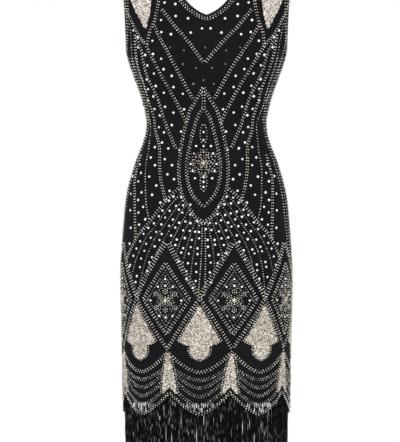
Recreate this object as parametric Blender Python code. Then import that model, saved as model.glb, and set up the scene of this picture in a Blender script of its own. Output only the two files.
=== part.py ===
"""A sleeveless beaded flapper dress, hollow and filled out as it is when worn.

The dress faces -Y and hangs down -Z. The origin lies between the two shoulder seams, at the height
where they meet the neck. A place on the dress is given by its turn round the dress and its height:
turn 0 is the centre front, 1 and -1 are the side seams and 2 is the centre back.
"""

import math
from bisect import bisect_right
from collections import namedtuple
from functools import lru_cache

import bmesh
import bpy
from mathutils import Vector

# Cloth, seams and what is laid on the cloth
CLOTH = 0.0012
SEAM_GAP = 0.0004
PATCH = 0.0008
PATCH_GAP = 0.0005

# Shoulder line, from the neck point out to the shoulder tip
NECK_HALF_WIDTH = 0.098
SHOULDER_TIP_X = 0.174
SHOULDER_TIP_HEIGHT = -0.031
SHOULDER_SLOPE = SHOULDER_TIP_HEIGHT / (SHOULDER_TIP_X - NECK_HALF_WIDTH)
SHOULDER_ROUND_HEIGHT = 0.12
SHOULDER_ROUND_POWER = 1.6

# Edges of the bodice
UNDERARM_HEIGHT = -0.240
UNDERARM_X = 0.1600
ARMHOLE_HOLLOW = {-1: 0.003, 1: 0.009}
NECK_BOTTOM = {-1: -0.176, 1: -0.198}
NECK_BEND = {-1: (0.071, -0.154), 1: (0.072, -0.178)}

# Hem: eight scallops round the dress, two to each quarter of it
SCALLOPS = 8
SCALLOP_PITCH = 4 / SCALLOPS
CUSP_HEIGHT = -0.919
SCALLOP_DEPTH = 0.042
SCALLOP_POWER = 1.5

# The skirt hangs turned a little towards the wearer's right
TWIST = -0.057
TWIST_TOP = -0.25
TWIST_BOTTOM = -0.70

# Over the hips the pattern spreads from the middles of the front and the back towards the sides
SPREAD = 0.047
SPREAD_TOP = (-0.54, -0.64)
SPREAD_BOTTOM = (-0.93, -0.73)

# Grid of each panel
PANEL_COLUMNS = 14
YOKE_ROWS = 12
ROWS_BELOW_NECK = 4

# Bindings
BINDING_WIDTH = 0.004
BINDING_PROUD = 0.0003
BINDING_GAP = 0.0004

# Fringe
STRANDS_PER_PANEL = 84
STRIP_TOP = -0.906
STRIP_BOTTOM = -0.916
STRIP_DEPTH = 0.0019
STRAND_THICKNESS = 0.0016
STRAND_SHARE = 0.76
STRAND_END = -1.100
STRAND_TAPER = 0.72
STRAND_SWAY = 0.0024
SWAY_WAVES = (9, 23)
STRAND_UNEVENNESS = 0.003
UNEVEN_WAVE = 61

FRONT, BACK = -1, 1
RING_STEPS = 48
TURN_STEP = 0.004
HEIGHT_STEP = 0.0015
TABLE_END_STEP = 0.1
YOKE_PASSES = 4
MERGE_DISTANCE = 1e-6
SHARP_ANGLE = math.radians(40)

Level = namedtuple("Level", "height half_width front_depth back_depth squareness")
LEVELS = (
    Level(0.060, 0.200, 0.054, 0.060, 2.4),
    Level(0.000, 0.197, 0.064, 0.070, 2.4),
    Level(-0.060, 0.193, 0.074, 0.084, 2.4),
    Level(-0.136, 0.184, 0.090, 0.097, 2.4),
    Level(-0.190, 0.172, 0.104, 0.102, 2.3),
    Level(-0.240, 0.1603, 0.114, 0.102, 2.25),
    Level(-0.270, 0.1520, 0.115, 0.099, 2.2),
    Level(-0.300, 0.1410, 0.110, 0.094, 2.15),
    Level(-0.340, 0.1275, 0.099, 0.086, 2.15),
    Level(-0.386, 0.1198, 0.091, 0.081, 2.15),
    Level(-0.420, 0.1262, 0.092, 0.088, 2.2),
    Level(-0.460, 0.1415, 0.098, 0.102, 2.25),
    Level(-0.520, 0.1585, 0.108, 0.119, 2.3),
    Level(-0.580, 0.1655, 0.116, 0.129, 2.35),
    Level(-0.676, 0.1708, 0.123, 0.134, 2.4),
    Level(-0.800, 0.1684, 0.125, 0.132, 2.4),
    Level(-0.926, 0.1662, 0.125, 0.129, 2.4),
    Level(-1.000, 0.1650, 0.125, 0.128, 2.4),
    Level(-1.120, 0.1635, 0.124, 0.127, 2.4),
)

# Heights of the panels' rows, from just above the scallops up to the underarm
SKIRT_ROWS = (-0.90, -0.84, -0.76, -0.68, -0.61, -0.55, -0.50, -0.46)
WAIST_ROWS = (-0.43, -0.405, -0.380, -0.350, -0.320, -0.295, -0.268)

PatchRow = namedtuple("PatchRow", "height inner outer")

# Sequinned spade: heights below its tip, and half widths
SPADE_TIP = -0.746
SPADE_ROWS = (
    PatchRow(-0.1030, 0.0, 0.0035),
    PatchRow(-0.0995, 0.0, 0.0105),
    PatchRow(-0.0940, 0.0, 0.0152),
    PatchRow(-0.0860, 0.0, 0.0180),
    PatchRow(-0.0790, 0.0, 0.0174),
    PatchRow(-0.0757, 0.0, 0.0185),
    PatchRow(-0.0728, 0.0, 0.0270),
    PatchRow(-0.0675, 0.0, 0.0372),
    PatchRow(-0.0450, 0.0, 0.0250),
    PatchRow(-0.0225, 0.0, 0.0128),
    PatchRow(0.0, 0.0, 0.0015),
)

# Sequinned tail over each cusp of the hem: heights below its tip, and half widths of its two legs
TAIL_TIP = -0.838
TAIL_ROWS = (
    PatchRow(-0.0775, 0.0116, 0.0140),
    PatchRow(-0.0690, 0.0046, 0.0138),
    PatchRow(-0.0630, 0.0, 0.0132),
    PatchRow(-0.0410, 0.0, 0.0104),
    PatchRow(-0.0215, 0.0, 0.0066),
    PatchRow(0.0, 0.0, 0.0015),
)

# Sequinned leaf on each shoulder, at its own heights, its edges measured across from the centre
LEAF_ROWS = (
    PatchRow(-0.198, 0.1190, 0.1215),
    PatchRow(-0.170, 0.1120, 0.1360),
    PatchRow(-0.142, 0.1090, 0.1495),
    PatchRow(-0.110, 0.1100, 0.1550),
    PatchRow(-0.085, 0.1150, 0.1530),
    PatchRow(-0.066, 0.1250, 0.1440),
)
SPADE_COLUMNS = 3
TAIL_COLUMNS = 2
LEAF_COLUMNS = 4
LEAF_STEPS = 2

# Colours, as linear red, green and blue
CLOTH_BLACK = (0.012, 0.012, 0.014)
BINDING_BLACK = (0.008, 0.008, 0.010)
FRINGE_BLACK = (0.007, 0.007, 0.009)
SEQUIN_CHAMPAGNE = (0.58, 0.50, 0.40)


def mixed(low, high, share):
    return low + (high - low) * share


def smooth(share):
    share = min(max(share, 0.0), 1.0)
    return share * share * (3 - 2 * share)


def hermite(before, low, high, after, share):
    """A value between low and high, on a smooth curve through four (height, value) pairs."""
    span = high[0] - low[0]
    slope_low = (high[1] - before[1]) / (high[0] - before[0]) * span
    slope_high = (after[1] - low[1]) / (after[0] - low[0]) * span
    square, cube = share * share, share**3
    return (
        (2 * cube - 3 * square + 1) * low[1]
        + (cube - 2 * square + share) * slope_low
        + (3 * square - 2 * cube) * high[1]
        + (cube - square) * slope_high
    )


@lru_cache(maxsize=None)
def level_at(height):
    """The size of the dress at any height, on smooth curves through the levels."""
    above = 1
    while above < len(LEVELS) - 2 and LEVELS[above].height > height:
        above += 1
    four = [LEVELS[min(max(above + i, 0), len(LEVELS) - 1)] for i in (1, 0, -1, -2)]
    share = (height - four[1].height) / (four[2].height - four[1].height)
    if four[0] is four[1]:
        four[0] = four[1]._replace(height=four[1].height - TABLE_END_STEP)
    if four[3] is four[2]:
        four[3] = four[2]._replace(height=four[2].height + TABLE_END_STEP)
    values = [
        hermite(*[(level.height, level[field]) for level in four], share)
        for field in range(1, len(Level._fields))
    ]
    return Level(height, *values)


@lru_cache(maxsize=None)
def quarter_ring(side, height):
    """Lengths, x and y along one quarter of the dress, from its centre line to its side."""
    level = level_at(height)
    depth = level.front_depth if side == FRONT else level.back_depth
    power = 2 / level.squareness
    lengths, xs, ys = [0.0], [0.0], [side * depth]
    for step in range(1, RING_STEPS + 1):
        angle = math.pi / 2 * step / RING_STEPS
        xs.append(level.half_width * math.sin(angle) ** power)
        ys.append(side * depth * max(math.cos(angle), 0.0) ** power)
        lengths.append(lengths[-1] + math.hypot(xs[-1] - xs[-2], ys[-1] - ys[-2]))
    return lengths, xs, ys


def between(marks, values, mark):
    """The value at a mark, on straight lines between the ones given."""
    i = min(max(bisect_right(marks, mark) - 1, 0), len(marks) - 2)
    share = (mark - marks[i]) / (marks[i + 1] - marks[i])
    return mixed(values[i], values[i + 1], share)


def quarter_length(height):
    """A quarter of the way round the dress, front and back together."""
    height = round(height, 5)
    return (quarter_ring(FRONT, height)[0][-1] + quarter_ring(BACK, height)[0][-1]) / 2


def shoulder_height(x):
    return (abs(x) - NECK_HALF_WIDTH) * SHOULDER_SLOPE


def shoulder_rounding(x, height):
    """How much of its depth the dress has left, so near the shoulder line."""
    drop = (shoulder_height(x) - height) / SHOULDER_ROUND_HEIGHT
    drop = min(max(drop, 0.0), 1.0)
    return (1 - (1 - drop) ** SHOULDER_ROUND_POWER) ** (1 / SHOULDER_ROUND_POWER)


def twist_at(height):
    return TWIST * smooth((TWIST_TOP - height) / (TWIST_TOP - TWIST_BOTTOM))


def spread_at(height):
    (top, full), (bottom, even) = SPREAD_TOP, SPREAD_BOTTOM
    return SPREAD * smooth((top - height) / (top - full)) * smooth((height - bottom) / (even - bottom))


def on_dress(turn, height):
    """The point of the outer face of the cloth at a turn and a height."""
    turn += spread_at(height) * math.sin(math.pi * turn)
    turn = (turn + twist_at(height) + 2) % 4 - 2
    side = FRONT if abs(turn) <= 1 else BACK
    share = abs(turn) if side == FRONT else 2 - abs(turn)
    lengths, xs, ys = quarter_ring(side, round(height, 5))
    x = math.copysign(between(lengths, xs, share * lengths[-1]), turn)
    y = between(lengths, ys, share * lengths[-1])
    return Vector((x, y * shoulder_rounding(x, height), height))


def out_of_cloth(turn, height):
    """The direction straight out of the cloth."""
    around = on_dress(turn + TURN_STEP, height) - on_dress(turn - TURN_STEP, height)
    up = on_dress(turn, height + HEIGHT_STEP) - on_dress(turn, height - HEIGHT_STEP)
    return around.cross(up).normalized()


def off_dress(turn, height, out):
    return on_dress(turn, height) + out_of_cloth(turn, height) * out


def turn_at(side, x, height):
    """The turn, counted from the centre line, where the dress is so far across."""
    lengths, xs, _ = quarter_ring(side, round(height, 5))
    return between(xs, lengths, min(abs(x), xs[-1])) / lengths[-1]


def from_centre(side, turn):
    """A turn counted from a panel's own centre line, as a turn round the dress."""
    return turn if side == FRONT else turn + 2


def neck_point(side, share):
    """The neckline in the front view, from its lowest point to the shoulder."""
    bend_x, bend_height = NECK_BEND[side]
    x = 2 * share * (1 - share) * bend_x + share**2 * NECK_HALF_WIDTH
    height = (1 - share) ** 2 * NECK_BOTTOM[side] + 2 * share * (1 - share) * bend_height
    return x, height


def armhole_point(side, share):
    """The armhole in the front view, from the underarm to the shoulder tip."""
    height = mixed(UNDERARM_HEIGHT, SHOULDER_TIP_HEIGHT, share)
    hollow = ARMHOLE_HOLLOW[side] * math.sin(math.pi * share)
    return mixed(UNDERARM_X, SHOULDER_TIP_X, share**1.5) - hollow, height


def scallop_height(turn):
    """The hem's height at a turn, scallop after scallop."""
    steps = turn / SCALLOP_PITCH
    from_middle = abs(steps - round(steps)) * 2
    return CUSP_HEIGHT - SCALLOP_DEPTH * (1 - from_middle**SCALLOP_POWER)


def yoke_edges(side, row):
    """Inner and outer (x, height) ends of one row of the yoke, where row 0 is at the underarm."""
    rise = (1 - math.cos(math.pi * row / YOKE_ROWS)) / 2
    outer = armhole_point(side, rise)
    if row <= ROWS_BELOW_NECK:
        share = row / ROWS_BELOW_NECK
        return (0.0, mixed(UNDERARM_HEIGHT, NECK_BOTTOM[side], share)), outer
    share = (row - ROWS_BELOW_NECK) / (YOKE_ROWS - ROWS_BELOW_NECK)
    return neck_point(side, math.sin(math.pi / 2 * share)), outer


def yoke_place(side, row, share):
    """Turn and height of a point in the yoke, between the neckline and the armhole."""
    (inner_x, inner_height), (outer_x, outer_height) = yoke_edges(side, row)
    if row == YOKE_ROWS:
        x = mixed(inner_x, outer_x, share)
        return turn_at(side, x, shoulder_height(x)), shoulder_height(x)
    widest = 1 - SEAM_GAP / 2 / quarter_length(UNDERARM_HEIGHT)
    inner = turn_at(side, inner_x, inner_height)
    outer = widest if row == 0 else turn_at(side, outer_x, outer_height)
    turn = mixed(inner, outer, share)
    inner_drop = shoulder_height(inner_x) - inner_height
    outer_drop = shoulder_height(outer_x) - outer_height
    level = mixed(inner_height, outer_height, share)
    height = level
    for _ in range(YOKE_PASSES):
        x = on_dress(from_centre(side, turn), height).x
        below_shoulder = shoulder_height(x) - mixed(inner_drop, outer_drop, share)
        height = mixed(level, below_shoulder, row / YOKE_ROWS)
    return turn, height


def skirt_place(height, share):
    """Turn and height of a point below the underarm, from the centre line to the side seam."""
    return share * (1 - SEAM_GAP / 2 / quarter_length(height)), height


def panel_place(side, row, half, share):
    """Turn and height of any point of a panel. Row 0 is the scalloped hem."""
    below = SKIRT_ROWS + WAIST_ROWS
    if row == 0:
        turn, _ = skirt_place(CUSP_HEIGHT, share)
        return from_centre(side, turn * half), scallop_height(turn * half)
    if row <= len(below):
        turn, height = skirt_place(below[row - 1], share)
    else:
        turn, height = yoke_place(side, row - len(below) - 1, share)
    return from_centre(side, turn * half), height


def new_object(name, bm, material):
    """Finishes a bmesh as an object of the dress, with its faces split along their short diagonals."""
    bmesh.ops.recalc_face_normals(bm, faces=bm.faces)
    bmesh.ops.triangulate(bm, faces=bm.faces, quad_method="SHORT_EDGE")
    mesh = bpy.data.meshes.new(name)
    bm.to_mesh(mesh)
    bm.free()
    mesh.shade_smooth()
    mesh.set_sharp_from_angle(angle=SHARP_ANGLE)
    mesh.materials.append(material)
    obj = bpy.data.objects.new(name, mesh)
    bpy.data.collections["flapper_dress"].objects.link(obj)
    return obj


def new_material(name, colour, roughness, metallic):
    material = bpy.data.materials.new(name)
    material.use_nodes = True
    shader = material.node_tree.nodes["Principled BSDF"]
    shader.inputs["Base Color"].default_value = (*colour, 1.0)
    shader.inputs["Roughness"].default_value = roughness
    shader.inputs["Metallic"].default_value = metallic
    return material


def add_grid(bm, across, up, place):
    """Adds a grid of across by up faces, and moves the vertex in column c and row r to place(c, r)."""
    made = bmesh.ops.create_grid(bm, x_segments=across, y_segments=up, size=1)["verts"]
    for index, vertex in enumerate(made):
        vertex.co = place(index % (across + 1), index // (across + 1))
    return made


def add_slit_sheet(bm, columns, rows, point):
    """Adds an open sheet of two halves that are welded wherever their inner edges meet."""

    def place(column, row):
        half = -1 if column <= columns else 1
        step = columns - column if half < 0 else column - columns - 1
        return point(row, half, step / columns)

    made = add_grid(bm, 2 * columns + 1, rows, place)
    faces = {face for vertex in made for face in vertex.link_faces}
    middle = set(made[columns :: 2 * columns + 2] + made[columns + 1 :: 2 * columns + 2])
    slit = [face for face in faces if all(vertex in middle for vertex in face.verts)]
    bmesh.ops.delete(bm, geom=slit, context="FACES")
    bmesh.ops.remove_doubles(bm, verts=made, dist=MERGE_DISTANCE)
    return [face for face in faces if face.is_valid]


def wall(name, columns, rows, outer, inner, material):
    """A closed wall between an outer and an inner sheet, each given as point(row, half, share)."""
    bm = bmesh.new()
    add_slit_sheet(bm, columns, rows, outer)
    inner_faces = add_slit_sheet(bm, columns, rows, inner)
    bmesh.ops.reverse_faces(bm, faces=inner_faces)
    rims = [edge for edge in bm.edges if edge.is_boundary]
    bmesh.ops.bridge_loops(bm, edges=rims)
    return new_object(name, bm, material)


def panel(name, side, material):
    """One cloth panel, from the scalloped hem up to the shoulder seam."""
    rows = 1 + len(SKIRT_ROWS + WAIST_ROWS) + YOKE_ROWS

    def face_point(row, half, share, depth):
        turn, height = panel_place(side, row, half, share)
        point, out = on_dress(turn, height), out_of_cloth(turn, height)
        if row == rows:
            out = Vector((out.x, 0, out.z)).normalized()
            point.y = side * SEAM_GAP / 2
        return point - out * depth

    return wall(
        name,
        PANEL_COLUMNS,
        rows,
        lambda row, half, share: face_point(row, half, share, 0.0),
        lambda row, half, share: face_point(row, half, share, CLOTH),
        material,
    )


def patch(name, rows, columns, place, material):
    """A thin sequinned patch that lies on the cloth. place gives the turn and height of a point."""

    def face_point(row, half, share, out):
        across = half * mixed(rows[row].inner, rows[row].outer, share)
        turn, height = place(across, rows[row].height)
        return off_dress(turn, height, out)

    return wall(
        name,
        columns,
        len(rows) - 1,
        lambda row, half, share: face_point(row, half, share, PATCH_GAP + PATCH),
        lambda row, half, share: face_point(row, half, share, PATCH_GAP),
        material,
    )


def hem_patches(material):
    """A spade in the middle of each scallop and a tail over each cusp, all round the dress."""
    for index in range(SCALLOPS):
        for kind, rows, columns, tip, offset in (
            ("spade", SPADE_ROWS, SPADE_COLUMNS, SPADE_TIP, 0.0),
            ("tail", TAIL_ROWS, TAIL_COLUMNS, TAIL_TIP, 0.5),
        ):
            middle = (index + offset) * SCALLOP_PITCH

            def place(across, below, middle=middle, tip=tip):
                height = tip + below
                return middle + across / quarter_length(height), height

            patch(f"{kind}_patch_{index + 1}", rows, columns, place, material)


def shoulder_leaf(name, half, material):
    """The sequinned leaf on one shoulder, as one strip from its inner to its outer edge."""

    def face_point(column, row, out):
        above = min(row // LEAF_STEPS + 1, len(LEAF_ROWS) - 1)
        low, high = LEAF_ROWS[above - 1], LEAF_ROWS[above]
        edges = [mixed(*ends, row / LEAF_STEPS - above + 1) for ends in zip(low, high)]
        height, inner, outer = edges
        turn = half * turn_at(FRONT, mixed(inner, outer, column / LEAF_COLUMNS), height)
        return off_dress(turn, height, out)

    bm = bmesh.new()
    rows = (len(LEAF_ROWS) - 1) * LEAF_STEPS
    add_grid(bm, LEAF_COLUMNS, rows, lambda c, r: face_point(c, r, PATCH_GAP + PATCH))
    inner = add_grid(bm, LEAF_COLUMNS, rows, lambda c, r: face_point(c, r, PATCH_GAP))
    bmesh.ops.reverse_faces(bm, faces=list({f for v in inner for f in v.link_faces}))
    bmesh.ops.bridge_loops(bm, edges=[edge for edge in bm.edges if edge.is_boundary])
    return new_object(name, bm, material)


def binding(name, edge, material):
    """A narrow band that finishes an edge, swept round a closed list of (turn, height, seam) places."""
    points = [on_dress(turn, height) for turn, height, _ in edge]
    outs = []
    for turn, height, at_seam in edge:
        out = out_of_cloth(turn, height)
        outs.append(Vector((out.x, 0, out.z)).normalized() if at_seam else out)
    near, far = BINDING_GAP, BINDING_GAP + BINDING_WIDTH
    over, under = BINDING_PROUD, -CLOTH - BINDING_PROUD
    corners = ((near, over), (far, over), (far, under), (near, under))

    def place(column, row):
        index = column % len(points)
        along = points[(index + 1) % len(points)] - points[index - 1]
        away = outs[index].cross(along).normalized()
        across, out = corners[row % len(corners)]
        return points[index] + away * across + outs[index] * out

    bm = bmesh.new()
    add_grid(bm, len(points), len(corners), place)
    bmesh.ops.remove_doubles(bm, verts=bm.verts, dist=MERGE_DISTANCE)
    return new_object(name, bm, material)


def neck_edge():
    """Places round the neckline: across the front, over one shoulder, across the back and up again."""
    places = []
    for side in (FRONT, BACK):
        for half in (-1, 1):
            rows = range(ROWS_BELOW_NECK, YOKE_ROWS + 1)
            part = []
            for row in rows:
                turn, height = yoke_place(side, row, 0.0)
                part.append((from_centre(side, turn * half), height, row == YOKE_ROWS))
            if half < 0:
                part = part[::-1]
            places += part[1:] if half > 0 else part[(side == BACK):]
    return places[:-1]


def armhole_edge(half):
    """Places round one armhole: up its front edge from the underarm, and down its back edge."""
    places = []
    for side, rows in ((FRONT, range(YOKE_ROWS + 1)), (BACK, range(YOKE_ROWS - 1, 0, -1))):
        for row in rows:
            turn, height = yoke_place(side, row, 1.0)
            turn = half * turn if side == FRONT else 2 - half * turn
            places.append((turn, height, row == YOKE_ROWS))
    return places if half < 0 else places[::-1]


def fringe(name, side, material):
    """Half of the fringe: a narrow strip behind the hem, with strands that hang from its lower face."""
    strip = ((STRIP_DEPTH, STRIP_TOP), (STRIP_DEPTH, STRIP_BOTTOM))
    strip += tuple((depth + STRAND_THICKNESS, height) for depth, height in strip[::-1])
    columns = 2 * STRANDS_PER_PANEL
    pitch = 2 * (1 - SEAM_GAP / 2 / quarter_length(STRIP_TOP)) / STRANDS_PER_PANEL

    def column_turn(column):
        strand, is_end = divmod(column, 2)
        start = (strand - STRANDS_PER_PANEL / 2 + (1 - STRAND_SHARE) / 2) * pitch
        if column in (0, columns):
            return math.copysign(STRANDS_PER_PANEL / 2 * pitch, column - 1)
        return start + is_end * STRAND_SHARE * pitch

    def place(column, row):
        depth, height = strip[row % len(strip)]
        return off_dress(from_centre(side, column_turn(column)), height, -depth)

    bm = bmesh.new()
    add_grid(bm, columns, len(strip), place)
    roots = list(bm.faces)[columns : 2 * columns : 2]
    bmesh.ops.remove_doubles(bm, verts=bm.verts, dist=MERGE_DISTANCE)
    bmesh.ops.holes_fill(bm, edges=[edge for edge in bm.edges if edge.is_boundary])
    bmesh.ops.recalc_face_normals(bm, faces=bm.faces)
    for strand, root in enumerate(roots):
        turn = from_centre(side, (strand + 0.5 - STRANDS_PER_PANEL / 2) * pitch)
        hang_strand(bm, root, turn)
    return new_object(name, bm, material)


def hang_strand(bm, root, turn):
    """Pulls one strand down out of the strip's lower face."""
    sway = STRAND_SWAY * (1 + math.sin(SWAY_WAVES[0] * turn) * math.sin(SWAY_WAVES[1] * turn))
    depth = STRIP_DEPTH + STRAND_THICKNESS / 2 + sway
    end = off_dress(turn, STRAND_END + STRAND_UNEVENNESS * math.sin(UNEVEN_WAVE * turn), -depth)
    tip = bmesh.ops.extrude_discrete_faces(bm, faces=[root])["faces"][0]
    start = tip.calc_center_median()
    for vertex in tip.verts:
        vertex.co = end + (vertex.co - start) * STRAND_TAPER


def clear_scene():
    for obj in list(bpy.data.objects):
        bpy.data.objects.remove(obj)


def build():
    clear_scene()
    collection = bpy.data.collections.new("flapper_dress")
    bpy.context.scene.collection.children.link(collection)
    cloth = new_material("cloth_black", CLOTH_BLACK, 0.85, 0.0)
    edging = new_material("binding_black", BINDING_BLACK, 0.7, 0.0)
    threads = new_material("fringe_black", FRINGE_BLACK, 0.35, 0.0)
    sequins = new_material("sequin_champagne", SEQUIN_CHAMPAGNE, 0.35, 0.5)
    panel("front", FRONT, cloth)
    panel("back", BACK, cloth)
    binding("neck_binding", neck_edge(), edging)
    binding("armhole_binding_right", armhole_edge(-1), edging)
    binding("armhole_binding_left", armhole_edge(1), edging)
    fringe("fringe_front", FRONT, threads)
    fringe("fringe_back", BACK, threads)
    shoulder_leaf("leaf_patch_right", -1, sequins)
    shoulder_leaf("leaf_patch_left", 1, sequins)
    hem_patches(sequins)


build()
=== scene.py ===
"""The looks of a beaded flapper dress: cloth, edges, sequins, beads and fringe, and its studio.

Every piece lies on one form, the outer face of the cloth. A place on it is given by its turn round
the dress and its height, or by how far across and how high it is in the front or the back view.
Turn 0 is the centre front, 1 and -1 are the side seams and 2 is the centre back.
"""

import logging
import math
from dataclasses import dataclass, field, replace
from enum import Enum
from typing import Callable, Iterable, Sequence

import bmesh
import bpy
import numpy as np
from mathutils import Matrix, Vector

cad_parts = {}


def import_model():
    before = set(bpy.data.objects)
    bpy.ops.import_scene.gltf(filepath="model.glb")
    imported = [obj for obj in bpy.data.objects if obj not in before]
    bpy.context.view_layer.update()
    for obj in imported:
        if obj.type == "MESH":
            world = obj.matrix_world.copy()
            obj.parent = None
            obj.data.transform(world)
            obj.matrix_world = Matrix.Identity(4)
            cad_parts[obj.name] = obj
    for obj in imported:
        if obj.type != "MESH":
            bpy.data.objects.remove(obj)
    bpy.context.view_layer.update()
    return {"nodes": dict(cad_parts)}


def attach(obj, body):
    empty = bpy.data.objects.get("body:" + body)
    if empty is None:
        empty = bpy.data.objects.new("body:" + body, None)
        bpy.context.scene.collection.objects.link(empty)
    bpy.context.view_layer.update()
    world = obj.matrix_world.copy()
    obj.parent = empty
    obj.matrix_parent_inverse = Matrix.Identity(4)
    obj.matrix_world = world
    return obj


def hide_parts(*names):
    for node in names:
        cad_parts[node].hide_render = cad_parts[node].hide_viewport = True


LOG = logging.getLogger("flapper_dress")
BODY = "root"
# How close staggered rows lie, as a share of the distance from place to place along them
STAGGER = 0.87

Array = np.ndarray
Colour = tuple[float, float, float]
Pair = tuple[float, float]
Mesh = bpy.types.Mesh
Piece = bpy.types.Object
Shape = bmesh.types.BMesh
Socket = bpy.types.NodeSocket


class Side(Enum):
    """The two faces of the dress, by the sign of their Y."""

    FRONT = -1
    BACK = 1

    @property
    def word(self) -> str:
        """Its name within the names of pieces."""
        return self.name.lower()


class Half(Enum):
    """The wearer's two sides, by the sign of their X."""

    RIGHT = -1
    LEFT = 1


def mixed(low: Array | float, high: Array | float, share: Array | float) -> Array | float:
    """The value that lies a share of the way from low to high."""
    return low + (high - low) * share


def smooth(share: Array | float) -> Array:
    """An even start and stop between 0 and 1."""
    share = np.clip(share, 0.0, 1.0)
    return share * share * (3 - 2 * share)


def unit(vectors: Array) -> Array:
    """Vectors made one metre long."""
    lengths = np.linalg.norm(vectors, axis=-1, keepdims=True)
    return vectors / np.maximum(lengths, 1e-12)


def curve_through(points: Sequence[Pair], steps: int = 10) -> Array:
    """A smooth curve through points of the plane.

    Args:
        points: The places that the curve passes.
        steps: How many points are put between each two of them.

    Returns:
        An array of points, with each given one among them.
    """
    marks = np.array(points, float)
    ends = np.vstack([2 * marks[0] - marks[1], marks, 2 * marks[-1] - marks[-2]])
    share = np.linspace(0, 1, steps, endpoint=False)[:, None]
    parts = []
    for before, low, high, after in zip(ends, ends[1:], ends[2:], ends[3:]):
        parts.append(
            0.5
            * (
                2 * low + (high - before) * share
                + (2 * before - 5 * low + 4 * high - after) * share**2
                + (3 * low - before - 3 * high + after) * share**3
            )
        )
    return np.vstack(parts + [marks[-1:]])


def lengths_along(points: Array) -> Array:
    """How far along a line each of its points lies."""
    return np.concatenate([[0.0], np.cumsum(np.linalg.norm(np.diff(points, axis=0), axis=1))])


def mesh_of(shape: Shape, name: str) -> Mesh:
    """A mesh made from a shape, which is freed."""
    mesh = bpy.data.meshes.new(name)
    shape.to_mesh(mesh)
    shape.free()
    return mesh


def copies(name: str, points: Array, faces: Array, tints: Array) -> Mesh:
    """One mesh of many small shapes that have the same faces.

    Args:
        name: The mesh's name.
        points: The corners of each copy in turn.
        faces: The corners' numbers in each face of one copy.
        tints: A random number for each copy.

    Returns:
        The mesh, with the random numbers as its tint.
    """
    count, size = points.shape[:2]
    loops = faces[None] + (np.arange(count) * size)[:, None, None]
    mesh = bpy.data.meshes.new(name)
    mesh.from_pydata(points.reshape(-1, 3).tolist(), [], loops.reshape(-1, faces.shape[1]).tolist())
    mesh.attributes.new("tint", "FLOAT", "POINT").data.foreach_set("value", np.repeat(tints, size))
    return mesh


def give_map(mesh: Mesh, places: Array) -> None:
    """Gives a cloth its own map, from a place in metres for each corner."""
    corners = np.empty(len(mesh.loops), int)
    mesh.loops.foreach_get("vertex_index", corners)
    mesh.uv_layers.new(name="cloth").data.foreach_set("uv", places[corners].ravel())


@dataclass(frozen=True)
class Level:
    """The size of the dress at one height."""

    height: float
    half_width: float
    front_depth: float
    back_depth: float
    squareness: float


LEVELS = (
    Level(0.060, 0.200, 0.054, 0.060, 2.4), Level(0.000, 0.197, 0.064, 0.070, 2.4),
    Level(-0.060, 0.193, 0.074, 0.084, 2.4), Level(-0.136, 0.184, 0.090, 0.097, 2.4),
    Level(-0.190, 0.172, 0.104, 0.102, 2.3), Level(-0.240, 0.1603, 0.114, 0.102, 2.25),
    Level(-0.270, 0.1520, 0.115, 0.099, 2.2), Level(-0.300, 0.1410, 0.110, 0.094, 2.15),
    Level(-0.340, 0.1275, 0.099, 0.086, 2.15), Level(-0.386, 0.1198, 0.091, 0.081, 2.15),
    Level(-0.420, 0.1262, 0.092, 0.088, 2.2), Level(-0.460, 0.1415, 0.098, 0.102, 2.25),
    Level(-0.520, 0.1585, 0.108, 0.119, 2.3), Level(-0.580, 0.1655, 0.116, 0.129, 2.35),
    Level(-0.676, 0.1708, 0.123, 0.134, 2.4), Level(-0.800, 0.1684, 0.125, 0.132, 2.4),
    Level(-0.926, 0.1662, 0.125, 0.129, 2.4), Level(-1.000, 0.1650, 0.125, 0.128, 2.4),
    Level(-1.120, 0.1635, 0.124, 0.127, 2.4)
)


@dataclass(frozen=True)
class Crease:
    """A soft trough in the cloth, given in turns and heights.

    Args:
        turn: Its middle, counted from the centre of its face of the dress.
        height: Its middle's height.
        slant: How far its line climbs for each turn, in metres.
        reach: Its half length, in turns.
        width: Its half width in height, in metres.
        depth: How deep it is.
    """

    turn: float
    height: float
    slant: float
    reach: float
    width: float
    depth: float


# Pull lines where the cloth is taken in at the waist and under the arms
CREASES = (
    Crease(0.80, -0.352, 0.020, 0.16, 0.0050, 0.0011),
    Crease(0.84, -0.378, 0.005, 0.20, 0.0055, 0.0013),
    Crease(0.80, -0.404, -0.018, 0.17, 0.0055, 0.0011),
    Crease(0.86, -0.276, -0.070, 0.12, 0.0060, 0.0010),
    Crease(0.66, -0.300, -0.055, 0.12, 0.0070, 0.0007),
    Crease(0.74, -0.446, -0.030, 0.15, 0.0070, 0.0008)
)


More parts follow.
